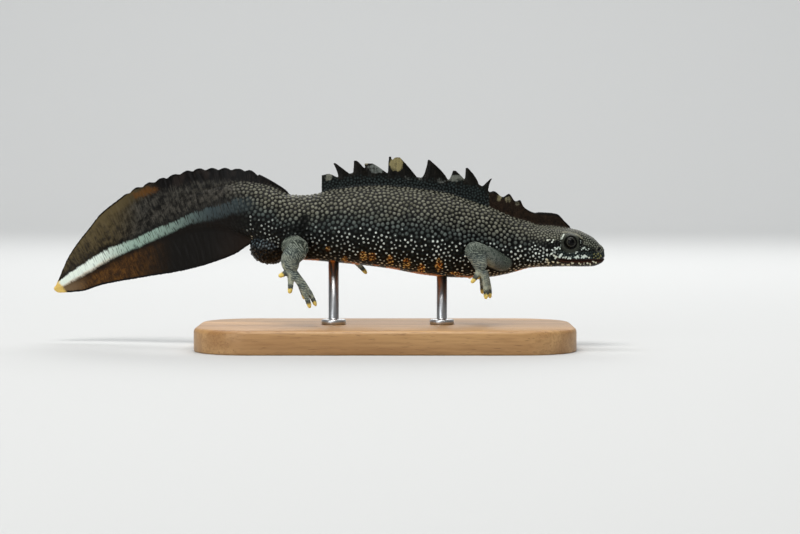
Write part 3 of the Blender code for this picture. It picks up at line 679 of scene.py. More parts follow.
# Each stroke: its points as (x, z), its half width and its height, below 0 where it is pressed in
FACE_STROKES = (
    (LIP_LINE, 0.12, -0.2),
    ([(x, z + 0.5) for x, z in LIP_LINE], 0.3, 0.07),
    ([(x, z - 0.38) for x, z in LIP_LINE], 0.24, 0.05),
    (((48.4, 19.2), (46.8, 19.7), (45.2, 20.4)), 0.3, -0.1),
    (((52.9, 24.5), (54.4, 23.6), (56, 22.6), (57.2, 21.6)), 0.4, 0.1),
    (((53.7, 22.9), (55, 21.6), (56.4, 20.6)), 0.5, -0.1),
    (((42.5, 16.8), (42.3, 18.5), (42.8, 20)), 0.3, -0.22),
    (((41.7, 16.4), (41.5, 18.5), (41.9, 20)), 0.4, 0.12),
    (((46.6, 21.6), (44.4, 22.4)), 1.1, 0.12),
    (((49.2, 24.6), (47, 24.3), (44.4, 24)), 0.35, -0.06),
    (((53.2, 23.4), (53.3, 22.2)), 0.35, -0.08),
)
# The pale brow over the eye and down towards the snout
BROW = ((49.4, 24.7), (50.5, 24.75), (51.7, 24.5), (52.8, 23.95), (53.5, 23.4))
BROW_HALF = 0.2
BROW_HEIGHT = 0.1
NOSTRIL = (57.25, 21.02)
NOSTRIL_RADIUS = 0.36
NOSTRIL_DEPTH = 0.3
NOSTRIL_RIM_HEIGHT = 0.08
MOUTH_LINE_HALF = 0.11


def off_line(x, z, line):
    """The distance in side view from each point to a line of straight stretches."""
    best = np.full(len(x), FAR)
    for (x0, z0), (x1, z1) in zip(line, line[1:]):
        dx, dz = x1 - x0, z1 - z0
        share = np.clip(((x - x0) * dx + (z - z0) * dz) / (dx * dx + dz * dz), 0, 1)
        best = np.minimum(best, np.hypot(x - x0 - share * dx, z - z0 - share * dz))
    return best


normals = read_normals(covered)
sideways = np.clip(1 - np.abs(normals[:, 2]), 0, 1) ** 0.5
in_mouth = np.exp(-(off_line(x, z, LIP_LINE) / MOUTH_LINE_HALF) ** 2) * (on_head > 0.5)
lift = np.zeros(len(points))
for line, half, height in FACE_STROKES:
    lift += height * np.exp(-(off_line(x, z, line) / half) ** 2)
brow = np.exp(-(off_line(x, z, BROW) / BROW_HALF) ** 2) * (on_head > 0.5)
brow *= ease(np.abs(y), 2.2, 3.2)
lift += BROW_HEIGHT * brow
nostril_way = np.hypot(x - NOSTRIL[0], z - NOSTRIL[1]) / NOSTRIL_RADIUS
in_nostril = np.exp(-nostril_way ** 2) * (np.abs(y) > 0.6) * (on_head > 0.5)
nostril_rim = np.exp(-((nostril_way - 1.9) / 0.6) ** 2) * (on_head > 0.5)
lift = lift * sideways - NOSTRIL_DEPTH * in_nostril + NOSTRIL_RIM_HEIGHT * nostril_rim
brow = np.maximum(brow, 0.5 * nostril_rim)
lift *= (x > 40.5) * (on_fold < 0.4) * (on_limb < 0.3)
points = points + normals * lift[:, None]

# The lids
# In life two thick, soft folds that hug the eyeball, the upper one jutting a little over it.
# The skin round each eye is set to a height over the eye's own axis, and dives in behind its edge.
EYE_RADIUS = 1.5
EYE_AXIS = (0.05, 1, 0.12)
LID_OPENING = 1.34
LID_CORNER = 0.1
LID_RISE = 0.1
LID_WIDTHS = (0.45, 0.6)
LID_GROOVE = 0.04
LID_GROOVE_HALF = 0.2
LID_REACH = 2.5
SOCKET_GAP = 0.28


def eye_axis(side):
    return Vector((EYE_AXIS[0], side * EYE_AXIS[1], EYE_AXIS[2])).normalized()


for side in (-1, 1):
    centre = eye_centre(side)
    outward = eye_axis(side)
    forward = np.array(Vector((0, 0, 1)).cross(outward).normalized() * side * -1)
    outward = np.array(outward)
    upward = np.cross(outward, forward) * -side
    away = points - centre
    height = away @ outward
    reach = np.hypot(away @ forward, away @ upward)
    turn_up = (away @ upward) / np.maximum(reach, 0.01)
    near = (reach < LID_REACH) & (height > -0.4)
    opening = LID_OPENING + LID_CORNER * (1 - turn_up ** 2) ** 2
    ball = np.sqrt(np.maximum(EYE_RADIUS ** 2 - np.minimum(reach, opening) ** 2, 0.01))
    width = np.interp(turn_up, (-1, 1), LID_WIDTHS)
    past = np.maximum(reach - opening, 0)
    rim = np.sqrt(EYE_RADIUS ** 2 - opening ** 2) + LID_RISE
    level = np.minimum(height, rim)
    outside = level + (rim - level) * np.exp(-(past / width) ** 2)
    outside -= LID_GROOVE * np.exp(-((past - width * 1.5) / LID_GROOVE_HALF) ** 2)
    inside = ball - SOCKET_GAP
    tuck = ease(opening - reach, 0, 0.1)
    wanted = outside * (1 - tuck) + inside * tuck
    change = np.where(near, wanted - height, 0) * ease(LID_REACH - reach, 0, 0.5)
    points = points + np.outer(change, outward)

write_points(covered, points)

# The marks of the skin
# In life white spots edge the lips, cream ones the jaw and yellow ones the snout, and patches of
# orange show by the belly. Each is a stroke or an ellipse in side view, kept as a share.
# Each stroke: its points as (x, z), its half width, how strong it is and how yellow
FACE_MARKS = (
    (((49.61, 24.17), (49.03, 23.31)), 0.2, 1, 0.1), (((48.84, 22.78), (48.94, 22.36)), 0.15, 0.5, 0),
    (((48.9, 22.01), (48.62, 21.31)), 0.19, 0.7, 0), (((48.17, 21.49), (47.56, 20.96)), 0.2, 0.8, 0),
    (((47.22, 20.44), (46.53, 20)), 0.2, 0.8, 0), (((47.35, 23.06), (46.86, 22.54)), 0.17, 0.75, 0.1),
    (((46.25, 23.07), (46.15, 23)), 0.24, 0.9, 0.2), (((53.34, 21.08), (53.8, 21.52)), 0.16, 0.85, 0),
    (((53.8, 21.52), (54.32, 21.07)), 0.15, 0.75, 0), (((52.31, 20.57), (52, 20.3)), 0.17, 0.8, 0),
    (((50.85, 20.33), (50.6, 20.3)), 0.25, 0.35, 0.2), (((53.17, 22.92), (53.2, 22.5)), 0.18, 0.5, 0),
    (((53.06, 21.61), (53.1, 21.5)), 0.15, 0.55, 0), (((47.84, 19.39), (47.6, 19.8)), 0.27, 0.9, 0.2),
    (((48.6, 19.6), (48.84, 20)), 0.34, 1, 0), (((49.4, 19.48), (49.9, 19.48)), 0.22, 0.8, 0.1),
    (((50.5, 19.25), (50.95, 19.33)), 0.26, 0.85, 0), (((52, 19.4), (52.55, 19.6)), 0.3, 0.95, 0),
    (((53.5, 19.55), (54.15, 19.65)), 0.33, 1, 0), (((54.75, 19.4), (55.1, 19.45)), 0.22, 0.7, 0.2),
    (((55.9, 19.4), (56.15, 19.5)), 0.17, 0.7, 1), (((56.89, 19.99), (56.95, 20.05)), 0.22, 0.85, 1),
    (((57.38, 19.56), (57.5, 19.7)), 0.2, 0.85, 1), (((56.89, 19.17), (57.05, 19.2)), 0.18, 0.8, 1),
    (((55.95, 20.05), (56.1, 20.1)), 0.15, 0.7, 1), (((56.5, 19.6), (56.45, 19.75)), 0.14, 0.7, 1),
    (((56.5, 19.2), (56.6, 19.25)), 0.13, 0.6, 1), (((54.6, 20.85), (54.75, 21.15)), 0.12, 0.6, 0),
    (((54.75, 21.15), (55.2, 21.2)), 0.12, 0.6, 0), (((45.8, 18.97), (46.1, 18.9)), 0.24, 0.9, 0.5),
    (((46.1, 18.53), (46.35, 18.3)), 0.2, 0.9, 0.6), (((47, 18.65), (47.35, 18.5)), 0.19, 0.8, 0.6),
    (((48.1, 18.5), (48.5, 18.3)), 0.18, 0.8, 0.6), (((49.2, 18), (49.5, 17.9)), 0.18, 0.9, 0.6),
    (((50.3, 17.9), (50.7, 17.85)), 0.18, 0.9, 0.6), (((51.2, 18.35), (51.5, 18.15)), 0.19, 0.9, 0.5),
    (((52.8, 18.2), (53.1, 18)), 0.2, 0.8, 0.5), (((53.8, 18.3), (53.9, 18.05)), 0.17, 0.8, 0.5),
    (((54.5, 18.3), (54.75, 18.1)), 0.18, 0.9, 0.4), (((55.1, 18), (55.3, 17.85)), 0.17, 0.9, 0.5),
    (((55.75, 18.55), (55.9, 18.4)), 0.18, 0.9, 0.4), (((56.2, 18.3), (56.5, 18.15)), 0.18, 0.9, 0.5),
)
# Each ellipse: its middle as (x, z), its half length and half height
ORANGE_PATCHES = (
    ((3.45, 18.7), 0.7, 1.1), ((0, 21.2), 0.7, 0.6), ((7.4, 19.7), 1, 1.1), ((9.2, 19.6), 0.9, 1.1),
    ((13.1, 18.9), 0.8, 1.2), ((16.5, 18.3), 1, 1.2), ((19.6, 17.2), 0.8, 1.1), ((23.3, 17.9), 0.9, 1.6),
    ((26.6, 16), 1.5, 0.4), ((-5.4, 19.6), 0.9, 1),
)
# Each pale patch of the crest: its middle, half length and half height, strength and how cream it is
CREST_PATCHES = (
    ((0, 36.2), 0.85, 0.8, 0.9, 0.2), ((10, 38.1), 1.75, 1.1, 0.85, 0), ((7.9, 39.2), 0.4, 0.35, 1, 0.6),
    ((14.3, 39), 1.4, 1.6, 1, 1), ((26.9, 36), 1.8, 0.8, 0.8, 0.1), ((17.1, 36.3), 1.1, 0.8, 0.35, 0),
    ((19.8, 36.1), 1, 0.7, 0.35, 0), ((23.8, 35.7), 1.1, 0.8, 0.35, 0), ((35.9, 32), 0.85, 0.9, 0.6, 0.7),
    ((38.1, 31.6), 0.75, 0.8, 0.7, 0.6), ((40, 30.8), 0.6, 0.6, 0.5, 0.4),
)
# Painted shadow in the hollows of the face: before the eye, inside the ring on the snout and behind the eye
FACE_HOLLOWS = (
    ((53.15, 22.8), 0.5, 1.15), ((55, 20.85), 0.3, 0.3), ((48.1, 22.4), 0.5, 0.7), ((46.6, 21.7), 0.9, 0.6),
)


def in_patch(x, z, middle, half_length, half_height, power=2):
    """1 well inside an ellipse of the side view, falling to 0 past its edge, squarer for more power."""
    along, upward = np.abs((x - middle[0]) / half_length), np.abs((z - middle[1]) / half_height)
    return 1 - ease((along ** power + upward ** power) ** (1 / power), 0.6, 1.3)


mark = np.zeros(len(points))
mark_yellow = np.zeros(len(points))
for line, half, strength, yellow in FACE_MARKS:
    share = strength * np.clip(1 - 0.5 * off_line(x, z, line) / half, 0, 1) * (x > 44)
    mark_yellow = np.where(share > mark, yellow, mark_yellow)
    mark = np.maximum(mark, share)
patch = np.max([in_patch(x, z, *row) for row in ORANGE_PATCHES], 0) * (1 - on_limb)
shadow = np.max([in_patch(x, z, *row) for row in FACE_HOLLOWS], 0) * on_head
crest_pale = np.zeros(len(points))
crest_cream = np.zeros(len(points))
for *row, strength, cream in CREST_PATCHES:
    share = strength * in_patch(x, z, *row, 2.6) * (on_fold > 0.4)
    crest_cream = np.where(share > crest_pale, cream, crest_cream)
    crest_pale = np.maximum(crest_pale, share)

# The grain of the skin
# In life the back and flanks are packed with round warts, the head and legs are finer grained,
# and the fins and belly are nearly smooth. Each wart is a low dome round a seeded random point.
GRAIN_SEED = 11
# How far apart the warts stand, and how high they are
BODY_PITCH = 0.76
CROWN_PITCH = 0.42
LIP_PITCH = 0.46
CHEEK_PITCH = 0.58
LIMB_PITCH = 0.36
VENT_PITCH = 0.56
FOLD_PITCH = 0.5
BODY_HEIGHT = 0.26
CROWN_HEIGHT = 0.09
LIP_HEIGHT = 0.06
CHEEK_HEIGHT = 0.12
LIMB_HEIGHT = 0.018
VENT_HEIGHT = 0.13
CREST_ROOT_HEIGHT = 0.07
MARK_HEIGHT = 0.06
EVENING_ROUNDS = 3
WART_RADIUS_SHARE = 0.46
# The least and the most of what differs from wart to wart
RADIUS_SPREAD = (0.85, 1.12)
HEIGHT_SPREAD = (0.7, 1.15)
TIP_SIZES = (0.13, 0.26)
TIP_STRENGTHS = (0.45, 1)
# The chance of a white tip where they stand thickest
FLANK_CHANCE = 0.72
CHEEK_CHANCE = 0.9
PATCH_CHANCE = 0.95
SHOULDER_X = 34


def scatter(points, pitch):
    """Random points of the skin that are no nearer to each other than the pitch there."""
    tree = tree_of(points)
    free = [True] * len(points)
    chosen = []
    for i in rng.permutation(len(points)).tolist():
        if free[i]:
            chosen.append(i)
            for _, other, _ in tree.find_range(points[i], pitch[i]):
                free[other] = False
    return points[chosen]


def nearest(points, centres):
    """The nearest centre's number and distance for every point."""
    tree = tree_of(centres)
    _, numbers, distances = zip(*(tree.find(point) for point in points.tolist()))
    return np.array(numbers), np.array(distances)


def gap_round(centres):
    """The mean distance from each centre to the nearest three others."""
    tree = tree_of(centres)
    return np.array([sum(near[2] for near in tree.find_n(centre, 4)) / 3 for centre in centres.tolist()])


rng = np.random.default_rng(GRAIN_SEED)
above_mouth = z - mouth(x)
on_cheek = ease(down, 0.26, 0.44) * (1 - ease(x, 47, 48.5))
on_lip = ease(x, 47, 48.5) * (1 - ease(above_mouth, 1.5, 2.1))
pitch = mixed(mixed(CROWN_PITCH, LIP_PITCH, on_lip), CHEEK_PITCH, on_cheek)
pitch = mixed(BODY_PITCH, pitch, ease(x, 38, 49))
pitch = mixed(mixed(mixed(pitch, LIMB_PITCH, on_limb), FOLD_PITCH, on_fold), VENT_PITCH, on_vent)
warts = scatter(points, pitch)
# Each wart moves to the middle of its patch of skin, which evens out their spacing
for _ in range(EVENING_ROUNDS):
    some = points[::4]
    owner, _ = nearest(some, warts)
    count = np.bincount(owner, minlength=len(warts))
    moved = np.stack([np.bincount(owner, axis, len(warts)) for axis in some.T], 1)
    warts = np.where(count[:, None] > 0, moved / np.maximum(count, 1)[:, None], warts)
owner, from_wart = nearest(points, warts)
wart_radius = WART_RADIUS_SHARE * gap_round(warts) * rng.uniform(*RADIUS_SPREAD, len(warts))
wart = np.clip(from_wart / wart_radius[owner], 0, 2)
dome = np.clip(1 - wart ** 2, 0, 1)

tall = BODY_HEIGHT * ease(x, -25, -13)
tall = tall * (1 - 0.4 * ease(down, 0.45, 0.8)) * (1 - 0.75 * ease(down, 0.93, 1))
face_height = mixed(mixed(CROWN_HEIGHT, LIP_HEIGHT, on_lip), CHEEK_HEIGHT, on_cheek)
tall = mixed(tall, face_height * (1 - 0.4 * ease(x, 52, 57)), ease(x, 38, 48))
tall = mixed(tall, LIMB_HEIGHT, on_limb)
tall = mixed(tall, CREST_ROOT_HEIGHT * on_crest * (1 - ease(up_crest, 0.4, 1)), on_fold)
tall = mixed(tall, VENT_HEIGHT, on_vent * (down > 0.5))
tall = tall * rng.uniform(*HEIGHT_SPREAD, len(warts))[owner]
tall *= 0.3 + 0.7 * ease(from_eye, 1.7, 2.4)
tall *= 1 - 0.9 * np.exp(-(nostril_way / 2) ** 2) * on_head

# The chance that a wart has a white tip: none on the back, most on the lower flank and cheek
chance = FLANK_CHANCE * ease(down, 0.42, 0.6) * ease(x, -21, -12) * (1 - ease(down, 0.985, 1))
cheek_chance = CHEEK_CHANCE * ease(down, 0.4, 0.56)
cheek_chance = cheek_chance * (1 - 0.55 * ease(x, 45.5, 46.5)) * (1 - ease(x, 48, 49))
chance = np.where(x > SHOULDER_X, cheek_chance, chance)
chance = np.maximum(chance, PATCH_CHANCE * patch)
chance = chance * (1 - on_limb) * (1 - on_fold) * (1 - 0.9 * on_vent)
at_wart = np.full(len(warts), -1)
at_wart[owner] = np.arange(len(points))
has_tip = (rng.random(len(warts)) < chance[at_wart]) & (at_wart >= 0)
tip_size = has_tip * rng.uniform(*TIP_SIZES, len(warts))
tip_strength = rng.uniform(*TIP_STRENGTHS, len(warts)) * (0.55 + 0.45 * ease(warts[:, 0], 0, 9))

# The fine folds of the skin
# In life slanting ridges cross the legs, ribs and creases the fins and the crest, and loose folds
# the vent. Each is a soft wave or a noise that raises the skin a little.
MIDBODY_X = 10
FRONT_RIDGE_PITCH = 0.36
HIND_RIDGE_PITCH = 0.46
RIDGE_SLANT = 0.6
RIDGE_BEND = 1.8
RIDGE_BREAK = 0.5
RIDGE_HEIGHT = 0.03
RIB_PITCH = 0.55
RIB_LENGTH = 4
RIB_HEIGHT = 0.07
CREST_RIB_PITCH = 0.35
CREST_RIB_LENGTH = 2.4
CREST_RIB_HEIGHT = 0.03
NAPE_RIB_HEIGHT = 0.012
CREASE_SIZE = 0.9
CREASE_HALF = 0.2
CREASE_HEIGHT = 0.09
VENT_FOLD_SIZE = 0.9
VENT_FOLD_HEIGHT = 0.3
LEATHER_SIZE = 0.22
LEATHER_HEIGHT = 0.03
CLOUD_ROUNDS = 120
# The groin before the thigh, drawn in a little, and the waist over it, both darkened with painted shade
GROIN = ((-4.4, 19.5), (-4.7, 23.5), (-5, 27.5))
GROIN_HALF = 1.1
GROIN_DEPTH = 0.28
WAIST = ((-10, 25), (-5.5, 25.6))
WAIST_HALF = 1.3


def place_noise(chosen, first, second, third):
    """Soft random numbers about 0 at the chosen points, for places in three scaled measures."""
    values = np.zeros(len(points))
    rows = np.flatnonzero(chosen)
    for i, place in zip(rows.tolist(), np.stack((first, second, third), 1)[rows].tolist()):
        values[i] = noise.noise(place)
    return values


# Place along the tail and across it, for streaks that stand square to the stripe
tail_x = spaced(TAIL_TIP_X, -10, 0.25)
tail_z = line_through(STRIPE)(tail_x)
slope = np.gradient(tail_z, tail_x)
length_at = np.concatenate(([0], np.cumsum(np.hypot(np.diff(tail_x), np.diff(tail_z)))))
lean = np.interp(x, tail_x, slope)
above = z - line_through(STRIPE)(x)
foot_x = x + above * lean / (1 + lean ** 2)
tail_along = np.interp(foot_x, tail_x, length_at) * (x < -8)

cloud = spread(rng.standard_normal(len(points)), edges, CLOUD_ROUNDS)
cloud = cloud / cloud.std()
on_limbs = on_limb > 0.05
bend = place_noise(on_limbs, x / RIDGE_BEND, y / RIDGE_BEND, z / RIDGE_BEND)
broken = place_noise(on_limbs, x / RIDGE_BREAK, y / RIDGE_BREAK, z / RIDGE_BREAK)
across_leg = np.where(covers("hind_left") > 0, z, -x)
ridge_pitch = np.where(x > MIDBODY_X, FRONT_RIDGE_PITCH, HIND_RIDGE_PITCH)
turns = (along_leg + RIDGE_SLANT * across_leg) / ridge_pitch + 1.5 * bend + 0.25 * broken
ridge_and_highlight = 0.5 + 0.5 * np.cos(2 * pi * turns)
ridge_and_highlight = ridge_and_highlight ** 1.5 * ease(broken, -0.55, 0.05) * on_limbs * ease(to_tip, 0.9, 2)
ridge_and_highlight *= np.where(x > MIDBODY_X, 0.5 + 0.5 * ease(np.abs(y), 5.5, 8.5), 1)
for elbow in KNEES[:2]:
    ridge_and_highlight *= 1 - 0.7 * np.exp(-(np.linalg.norm(points - elbow, axis=1) / KNEE_REACH) ** 2)
on_crests = on_crest + on_nape
rib = place_noise(on_crests > 0.3, x / CREST_RIB_PITCH, z / CREST_RIB_LENGTH, y)
on_tail = ease(x, -14, -20)
tail_rib = place_noise(on_tail > 0, tail_along / RIB_PITCH, above / RIB_LENGTH, y)
crease = place_noise(on_tail > 0, x / CREASE_SIZE, y / CREASE_SIZE, z / CREASE_SIZE)
crease = 1 - np.abs(crease) / CREASE_HALF
fold_x, fold_y, fold_z = x / VENT_FOLD_SIZE, y / VENT_FOLD_SIZE, z * 1.6 / VENT_FOLD_SIZE
vent_fold = place_noise(on_vent > 0.1, fold_x, fold_y, fold_z)
leather = place_noise(on_head > 0.1, x / LEATHER_SIZE, y / LEATHER_SIZE, z / LEATHER_SIZE)
crest_rib = (on_crest * CREST_RIB_HEIGHT + on_nape * NAPE_RIB_HEIGHT) * rib
lift = tall * dome + on_limb * RIDGE_HEIGHT * ridge_and_highlight + crest_rib
lift += on_vent * VENT_FOLD_HEIGHT * vent_fold
crease_height = CREASE_HEIGHT * np.clip(crease, 0, 1) * ease(above, 0, 2) * (1 - on_fold)
lift += on_tail * (RIB_HEIGHT * tail_rib + crease_height)
lift += LEATHER_HEIGHT * leather * on_head * ease(from_eye, 1.3, 1.8) + MARK_HEIGHT * mark
groin_crease_and_shade = np.exp(-(off_line(x, z, GROIN) / GROIN_HALF) ** 2)
lift -= GROIN_DEPTH * groin_crease_and_shade * (1 - on_limb) * (1 - on_fold) * ease(np.abs(y), 2, 4)
waist_shade = np.exp(-(off_line(x, z, WAIST) / WAIST_HALF) ** 2)
points = points + normals * lift[:, None]
write_points(covered, points)

# What the colours need to know at each point of the skin
SKIN_MEASURES = {
    "wart": wart, "from_wart": from_wart, "tip_size": tip_size[owner],
    "tip_strength": tip_strength[owner], "tone": rng.uniform(0, 1, len(warts))[owner],
    "down": down, "cloud": cloud, "groin_crease_and_shade": np.maximum(groin_crease_and_shade, 0.7 * waist_shade), "patch": patch,
    "limb": on_limb, "tip": to_tip, "ridge_and_highlight": ridge_and_highlight, "vent": on_vent,
    "crest": on_crest, "nape": on_nape, "rib": rib, "up_crest": up_crest,
    "crest_pale": crest_pale, "crest_cream": crest_cream,
    "upper_fin": on_upper_fin, "lower_fin": on_lower_fin, "edge": below_edge,
    # The up- and down-facing edges of the folds, which the crest lightens as a painted rim of backlight
    "rim": on_fold * ease(1 - np.abs(normals[:, 1]), 0.35, 0.85),
    "stripe_way": np.clip(stripe_way, -3, 3), "tail_along": tail_along, "tail_above": above,
    "above_mouth": above_mouth, "brow": brow, "shadow": shadow, "from_eye": from_eye,
    "hollow_shade": np.maximum(in_mouth, in_nostril), "mark": mark, "mark_yellow": mark_yellow,
}
for name, values in SKIN_MEASURES.items():
    kept = covered.attributes.new(name, "FLOAT", "POINT")
    kept.data.foreach_set("value", np.asarray(values, np.float32))

# The colours of the skin
# In life black skin under brown-grey warts on the back, white-tipped ones on the flanks, an orange
# belly with black blotches, dark bare fins and a silvery stripe. It is one procedural material.
# How big the patches of the random grains are, in millimetres
FINE_SIZE = 0.11
GRAIN_SIZE = 0.33
BLOTCH_SIZE = 1.2
DOT_SIZE = 0.5
STREAK_SIZE = 0.34
HATCH_SIZE = 0.24
# The amber patch on the upper fin: its middle, and how it tilts
AMBER_PLACE = (-39.9, 33)
AMBER_TILT = 0.25
# How deep the finest grain looks, in metres
FINE_DEPTH = 0.00006


class Value:
    """A result of a shader node, which can stand in sums and products like a number."""

    def __init__(self, tree, socket=None):
        self.tree = tree
        self.socket = socket

    def node(self, kind, settings, sockets, result=0):
        """Adds a node of this kind, makes its settings, fills its sockets and gives one result."""
        made = self.tree.nodes.new("ShaderNode" + kind)
        for name, setting in settings.items():
            setattr(made, name, setting)
        for name, value in sockets.items():
            if isinstance(value, Value):
                self.tree.links.new(value.socket, made.inputs[name])
            else:
                made.inputs[name].default_value = value
        return Value(self.tree, made.outputs[result])

    def math(self, operation, first, second):
        return self.node("Math", {"operation": operation}, {0: first, 1: second})

    def __add__(self, other):
        return self.math("ADD", self, other)

    def __sub__(self, other):
        return self.math("SUBTRACT", self, other)

    def __rsub__(self, other):
        return self.math("SUBTRACT", other, self)

    def __mul__(self, other):
        return self.math("MULTIPLY", self, other)

    __radd__ = __add__
    __rmul__ = __mul__

    def rise(self, low, high):
        """0 where this is below low and 1 above high, or the other way round if low is the greater."""
        return self.node("MapRange", {"interpolation_type": "SMOOTHSTEP"}, {0: self, 1: low, 2: high})

    def kept(self, name):
        """A number that is kept on the points of the mesh."""
        return self.node("Attribute", {"attribute_name": name}, {}, "Fac")

    def blend(self, first, second):
        """The first colour where this is 0 and the second where it is 1."""
        return self.node("Mix", {"data_type": "RGBA"}, {0: self, 6: first, 7: second}, 2)

    def noise(self, place, size, detail):
        """A cloudy number about 0.5 over patches of about this size."""
        return self.node("TexNoise", {}, {"Vector": place, "Scale": 1 / size, "Detail": detail})

    def feed(self, shader, name):
        self.tree.links.new(self.socket, shader.inputs[name])


def shade(red, green, blue):
    """A colour by its 0 to 255 values on a screen."""
    return (*(((v / 255 + 0.055) / 1.055) ** 2.4 for v in (red, green, blue)), 1)


def new_material(name):
    """A material, its main shader, and a start for values in its tree."""
    material = bpy.data.materials.new(name)
    material.use_nodes = True
    return material, material.node_tree.nodes["Principled BSDF"], Value(material.node_tree)


def millimetres(start):
    """The place in the model, in millimetres."""
    place = start.node("TexCoord", {}, {}, "Object")
    return start.node("VectorMath", {"operation": "SCALE"}, {0: place, "Scale": 1 / MM})


class SkinLook:
    """What the colours of the skin share: kept measures, places, random grains and wart tips."""

    def __init__(self, start):
        self.start, self.kept = start, start.kept
        self.place = millimetres(start)
        self.along = start.node("SeparateXYZ", {}, {0: self.place}) - ORIGIN_SHIFT
        self.height = start.node("SeparateXYZ", {}, {0: self.place}, 2)
        self.fine = start.noise(self.place, FINE_SIZE, 2)
        self.grain = start.noise(self.place, GRAIN_SIZE, 2)
        self.blotch = start.noise(self.place, BLOTCH_SIZE, 3)
        self.tone = self.kept("tone")
        self.on_dome = (self.kept("wart") + (self.fine - 0.5) * 0.3).rise(1.08, 0.45)
        self.groin_crease_and_shade = self.kept("groin_crease_and_shade").rise(0.1, 0.7)

        # White tips of warts, yellow to orange near the belly
        ragged = (self.fine - 0.5) * 0.22 + (self.grain - 0.5) * (self.along.rise(36, 42) * 0.45 + 0.12)
        tip = (self.kept("tip_size") - self.kept("from_wart") + ragged).rise(-0.03, 0.05)
        tip = tip * self.kept("tip_strength") * self.kept("tip_size").rise(0.05, 0.1)
        # The white tips dim in the painted shade of the groin
        self.tip = tip * (1 - self.groin_crease_and_shade * 0.7)
        yellowness = self.kept("patch").rise(0.1, 0.5) * 0.8 + self.kept("down").rise(0.84, 0.96) * 0.5
        self.tip_colour = yellowness.blend(shade(222, 230, 222), shade(236, 192, 106))

        # Mottling of the tail, and the olive of its rear half
        self.above = self.kept("tail_above")
        self.streak = self.streaks(0.16, STREAK_SIZE, 3)
        mottle = self.streak * 0.45 + self.blotch * 0.55 + (self.fine - 0.5) * 0.35
        self.mottle = mottle + self.on_dome * self.along.rise(-25, -18) * 0.12
        olive = (self.mottle + self.above * 0.035).rise(0.45, 0.85)
        self.olive = olive.blend(shade(30, 24, 16), shade(86, 74, 48))

    def streaks(self, narrowing, size, detail):
        """Noise over the tail that is drawn out square to the stripe."""
        across = self.above * narrowing
        place = self.start.node("CombineXYZ", {}, {0: self.kept("tail_along"), 1: across})
        return self.start.noise(place, size, detail)


def trunk_colour(look):
    """Brown-grey warts on the back, then blue-grey, then black, with black between: partly painted light
    from above.
    """
    down = look.kept("down") + look.kept("cloud") * 0.025 + (look.grain - 0.5) * 0.1
    # Partly painted light from above: the wart tops are lighter than the black between them, and both
    # darken down the flank
    brown = look.tone.blend(shade(90, 89, 76), shade(126, 125, 110))
    blue = look.tone.blend(shade(52, 60, 58), shade(92, 101, 97))
    dark = look.tone.blend(shade(14, 16, 13), shade(34, 37, 32))
    domes = down.rise(0.2, 0.5).blend(brown, blue)
    domes = down.rise(0.46, 0.64).blend(domes, dark)
    gaps = down.rise(0.15, 0.45).blend(shade(18, 18, 14), shade(6, 7, 6))
    colour = look.on_dome.blend(gaps, domes)
    # Painted shade: the groin and the waist over it turn nearly black
    return (look.groin_crease_and_shade * 0.95).blend(colour, shade(6, 7, 5))


def with_belly(colour, look):
    """An orange belly with black blotches, clusters of orange dots on the flank, and pale tips."""
    fine, grain, patch = look.fine, look.grain, look.kept("patch")
    ragged_patch = ((grain - 0.5) * 1.6 + (look.blotch - 0.5) * 1.2) * patch.rise(0, 0.3)
    on_patch = (patch * 0.9 + ragged_patch).rise(0.3, 1.1)
    cells = look.start.node("TexVoronoi", {}, {"Vector": look.place, "Scale": 1 / DOT_SIZE})
    dots = (cells + (fine - 0.5) * 0.4).rise(0.5, 0.25)
    dot_colour = look.tone.blend(shade(214, 124, 36), shade(236, 194, 112))
    colour = (on_patch * 0.35).blend(colour, shade(104, 54, 14))
    colour = (on_patch * dots).blend(colour, dot_colour)
    underneath = (look.kept("down") + (grain - 0.5) * 0.05).rise(0.965, 0.985)
    between_blotches = (look.kept("cloud") + (grain - 0.5) * 2).rise(0.35, 0)
    on_belly = underneath * between_blotches * look.along.rise(-11, -8)
    colour = on_belly.blend(colour, fine.blend(shade(182, 88, 14), shade(220, 140, 38)))
    return look.tip.blend(colour, look.tip_colour)


def with_head(colour, look):
    """Granular brown-grey crown, dark cheek, blue-grey upper lip and brown jaw."""
    along, fine, grain, on_dome = look.along, look.fine, look.grain, look.on_dome
    above_mouth = look.kept("above_mouth")
    pits = fine * 0.5 + look.blotch * 0.35 + on_dome * 0.42
    crown = pits.rise(0.38, 0.92).blend(shade(26, 26, 22), shade(116, 116, 101))
    snout = pits.rise(0.4, 0.94).blend(shade(26, 27, 24), shade(118, 121, 108))
    crown = along.rise(52, 56).blend(crown, snout)
    lip = (on_dome * 0.7 + (fine - 0.5)).blend(shade(16, 21, 21), shade(62, 72, 70))
    jaw = (on_dome * 0.5 + (fine - 0.5)).blend(shade(22, 16, 10), shade(66, 49, 31))
    cheek = on_dome.blend(shade(8, 9, 7), look.tone.blend(shade(24, 27, 24), shade(46, 50, 45)))
    face = look.kept("down").rise(0.26, 0.42).blend(crown, cheek)
    front = along.rise(47.5, 49)
    face = (front * (above_mouth + (grain - 0.5) * 1.4).rise(2.1, 1.5)).blend(face, lip)
    face = (front * (above_mouth + (grain - 0.5) * 0.3).rise(0.36, 0.2)).blend(face, shade(50, 26, 15))
    face = (front * above_mouth.rise(-0.35, -0.5)).blend(face, jaw)
    face = (look.tip * (1 - front)).blend(face, look.tip_colour)
    return along.rise(40, 45.5).blend(colour, with_lids(face, look))


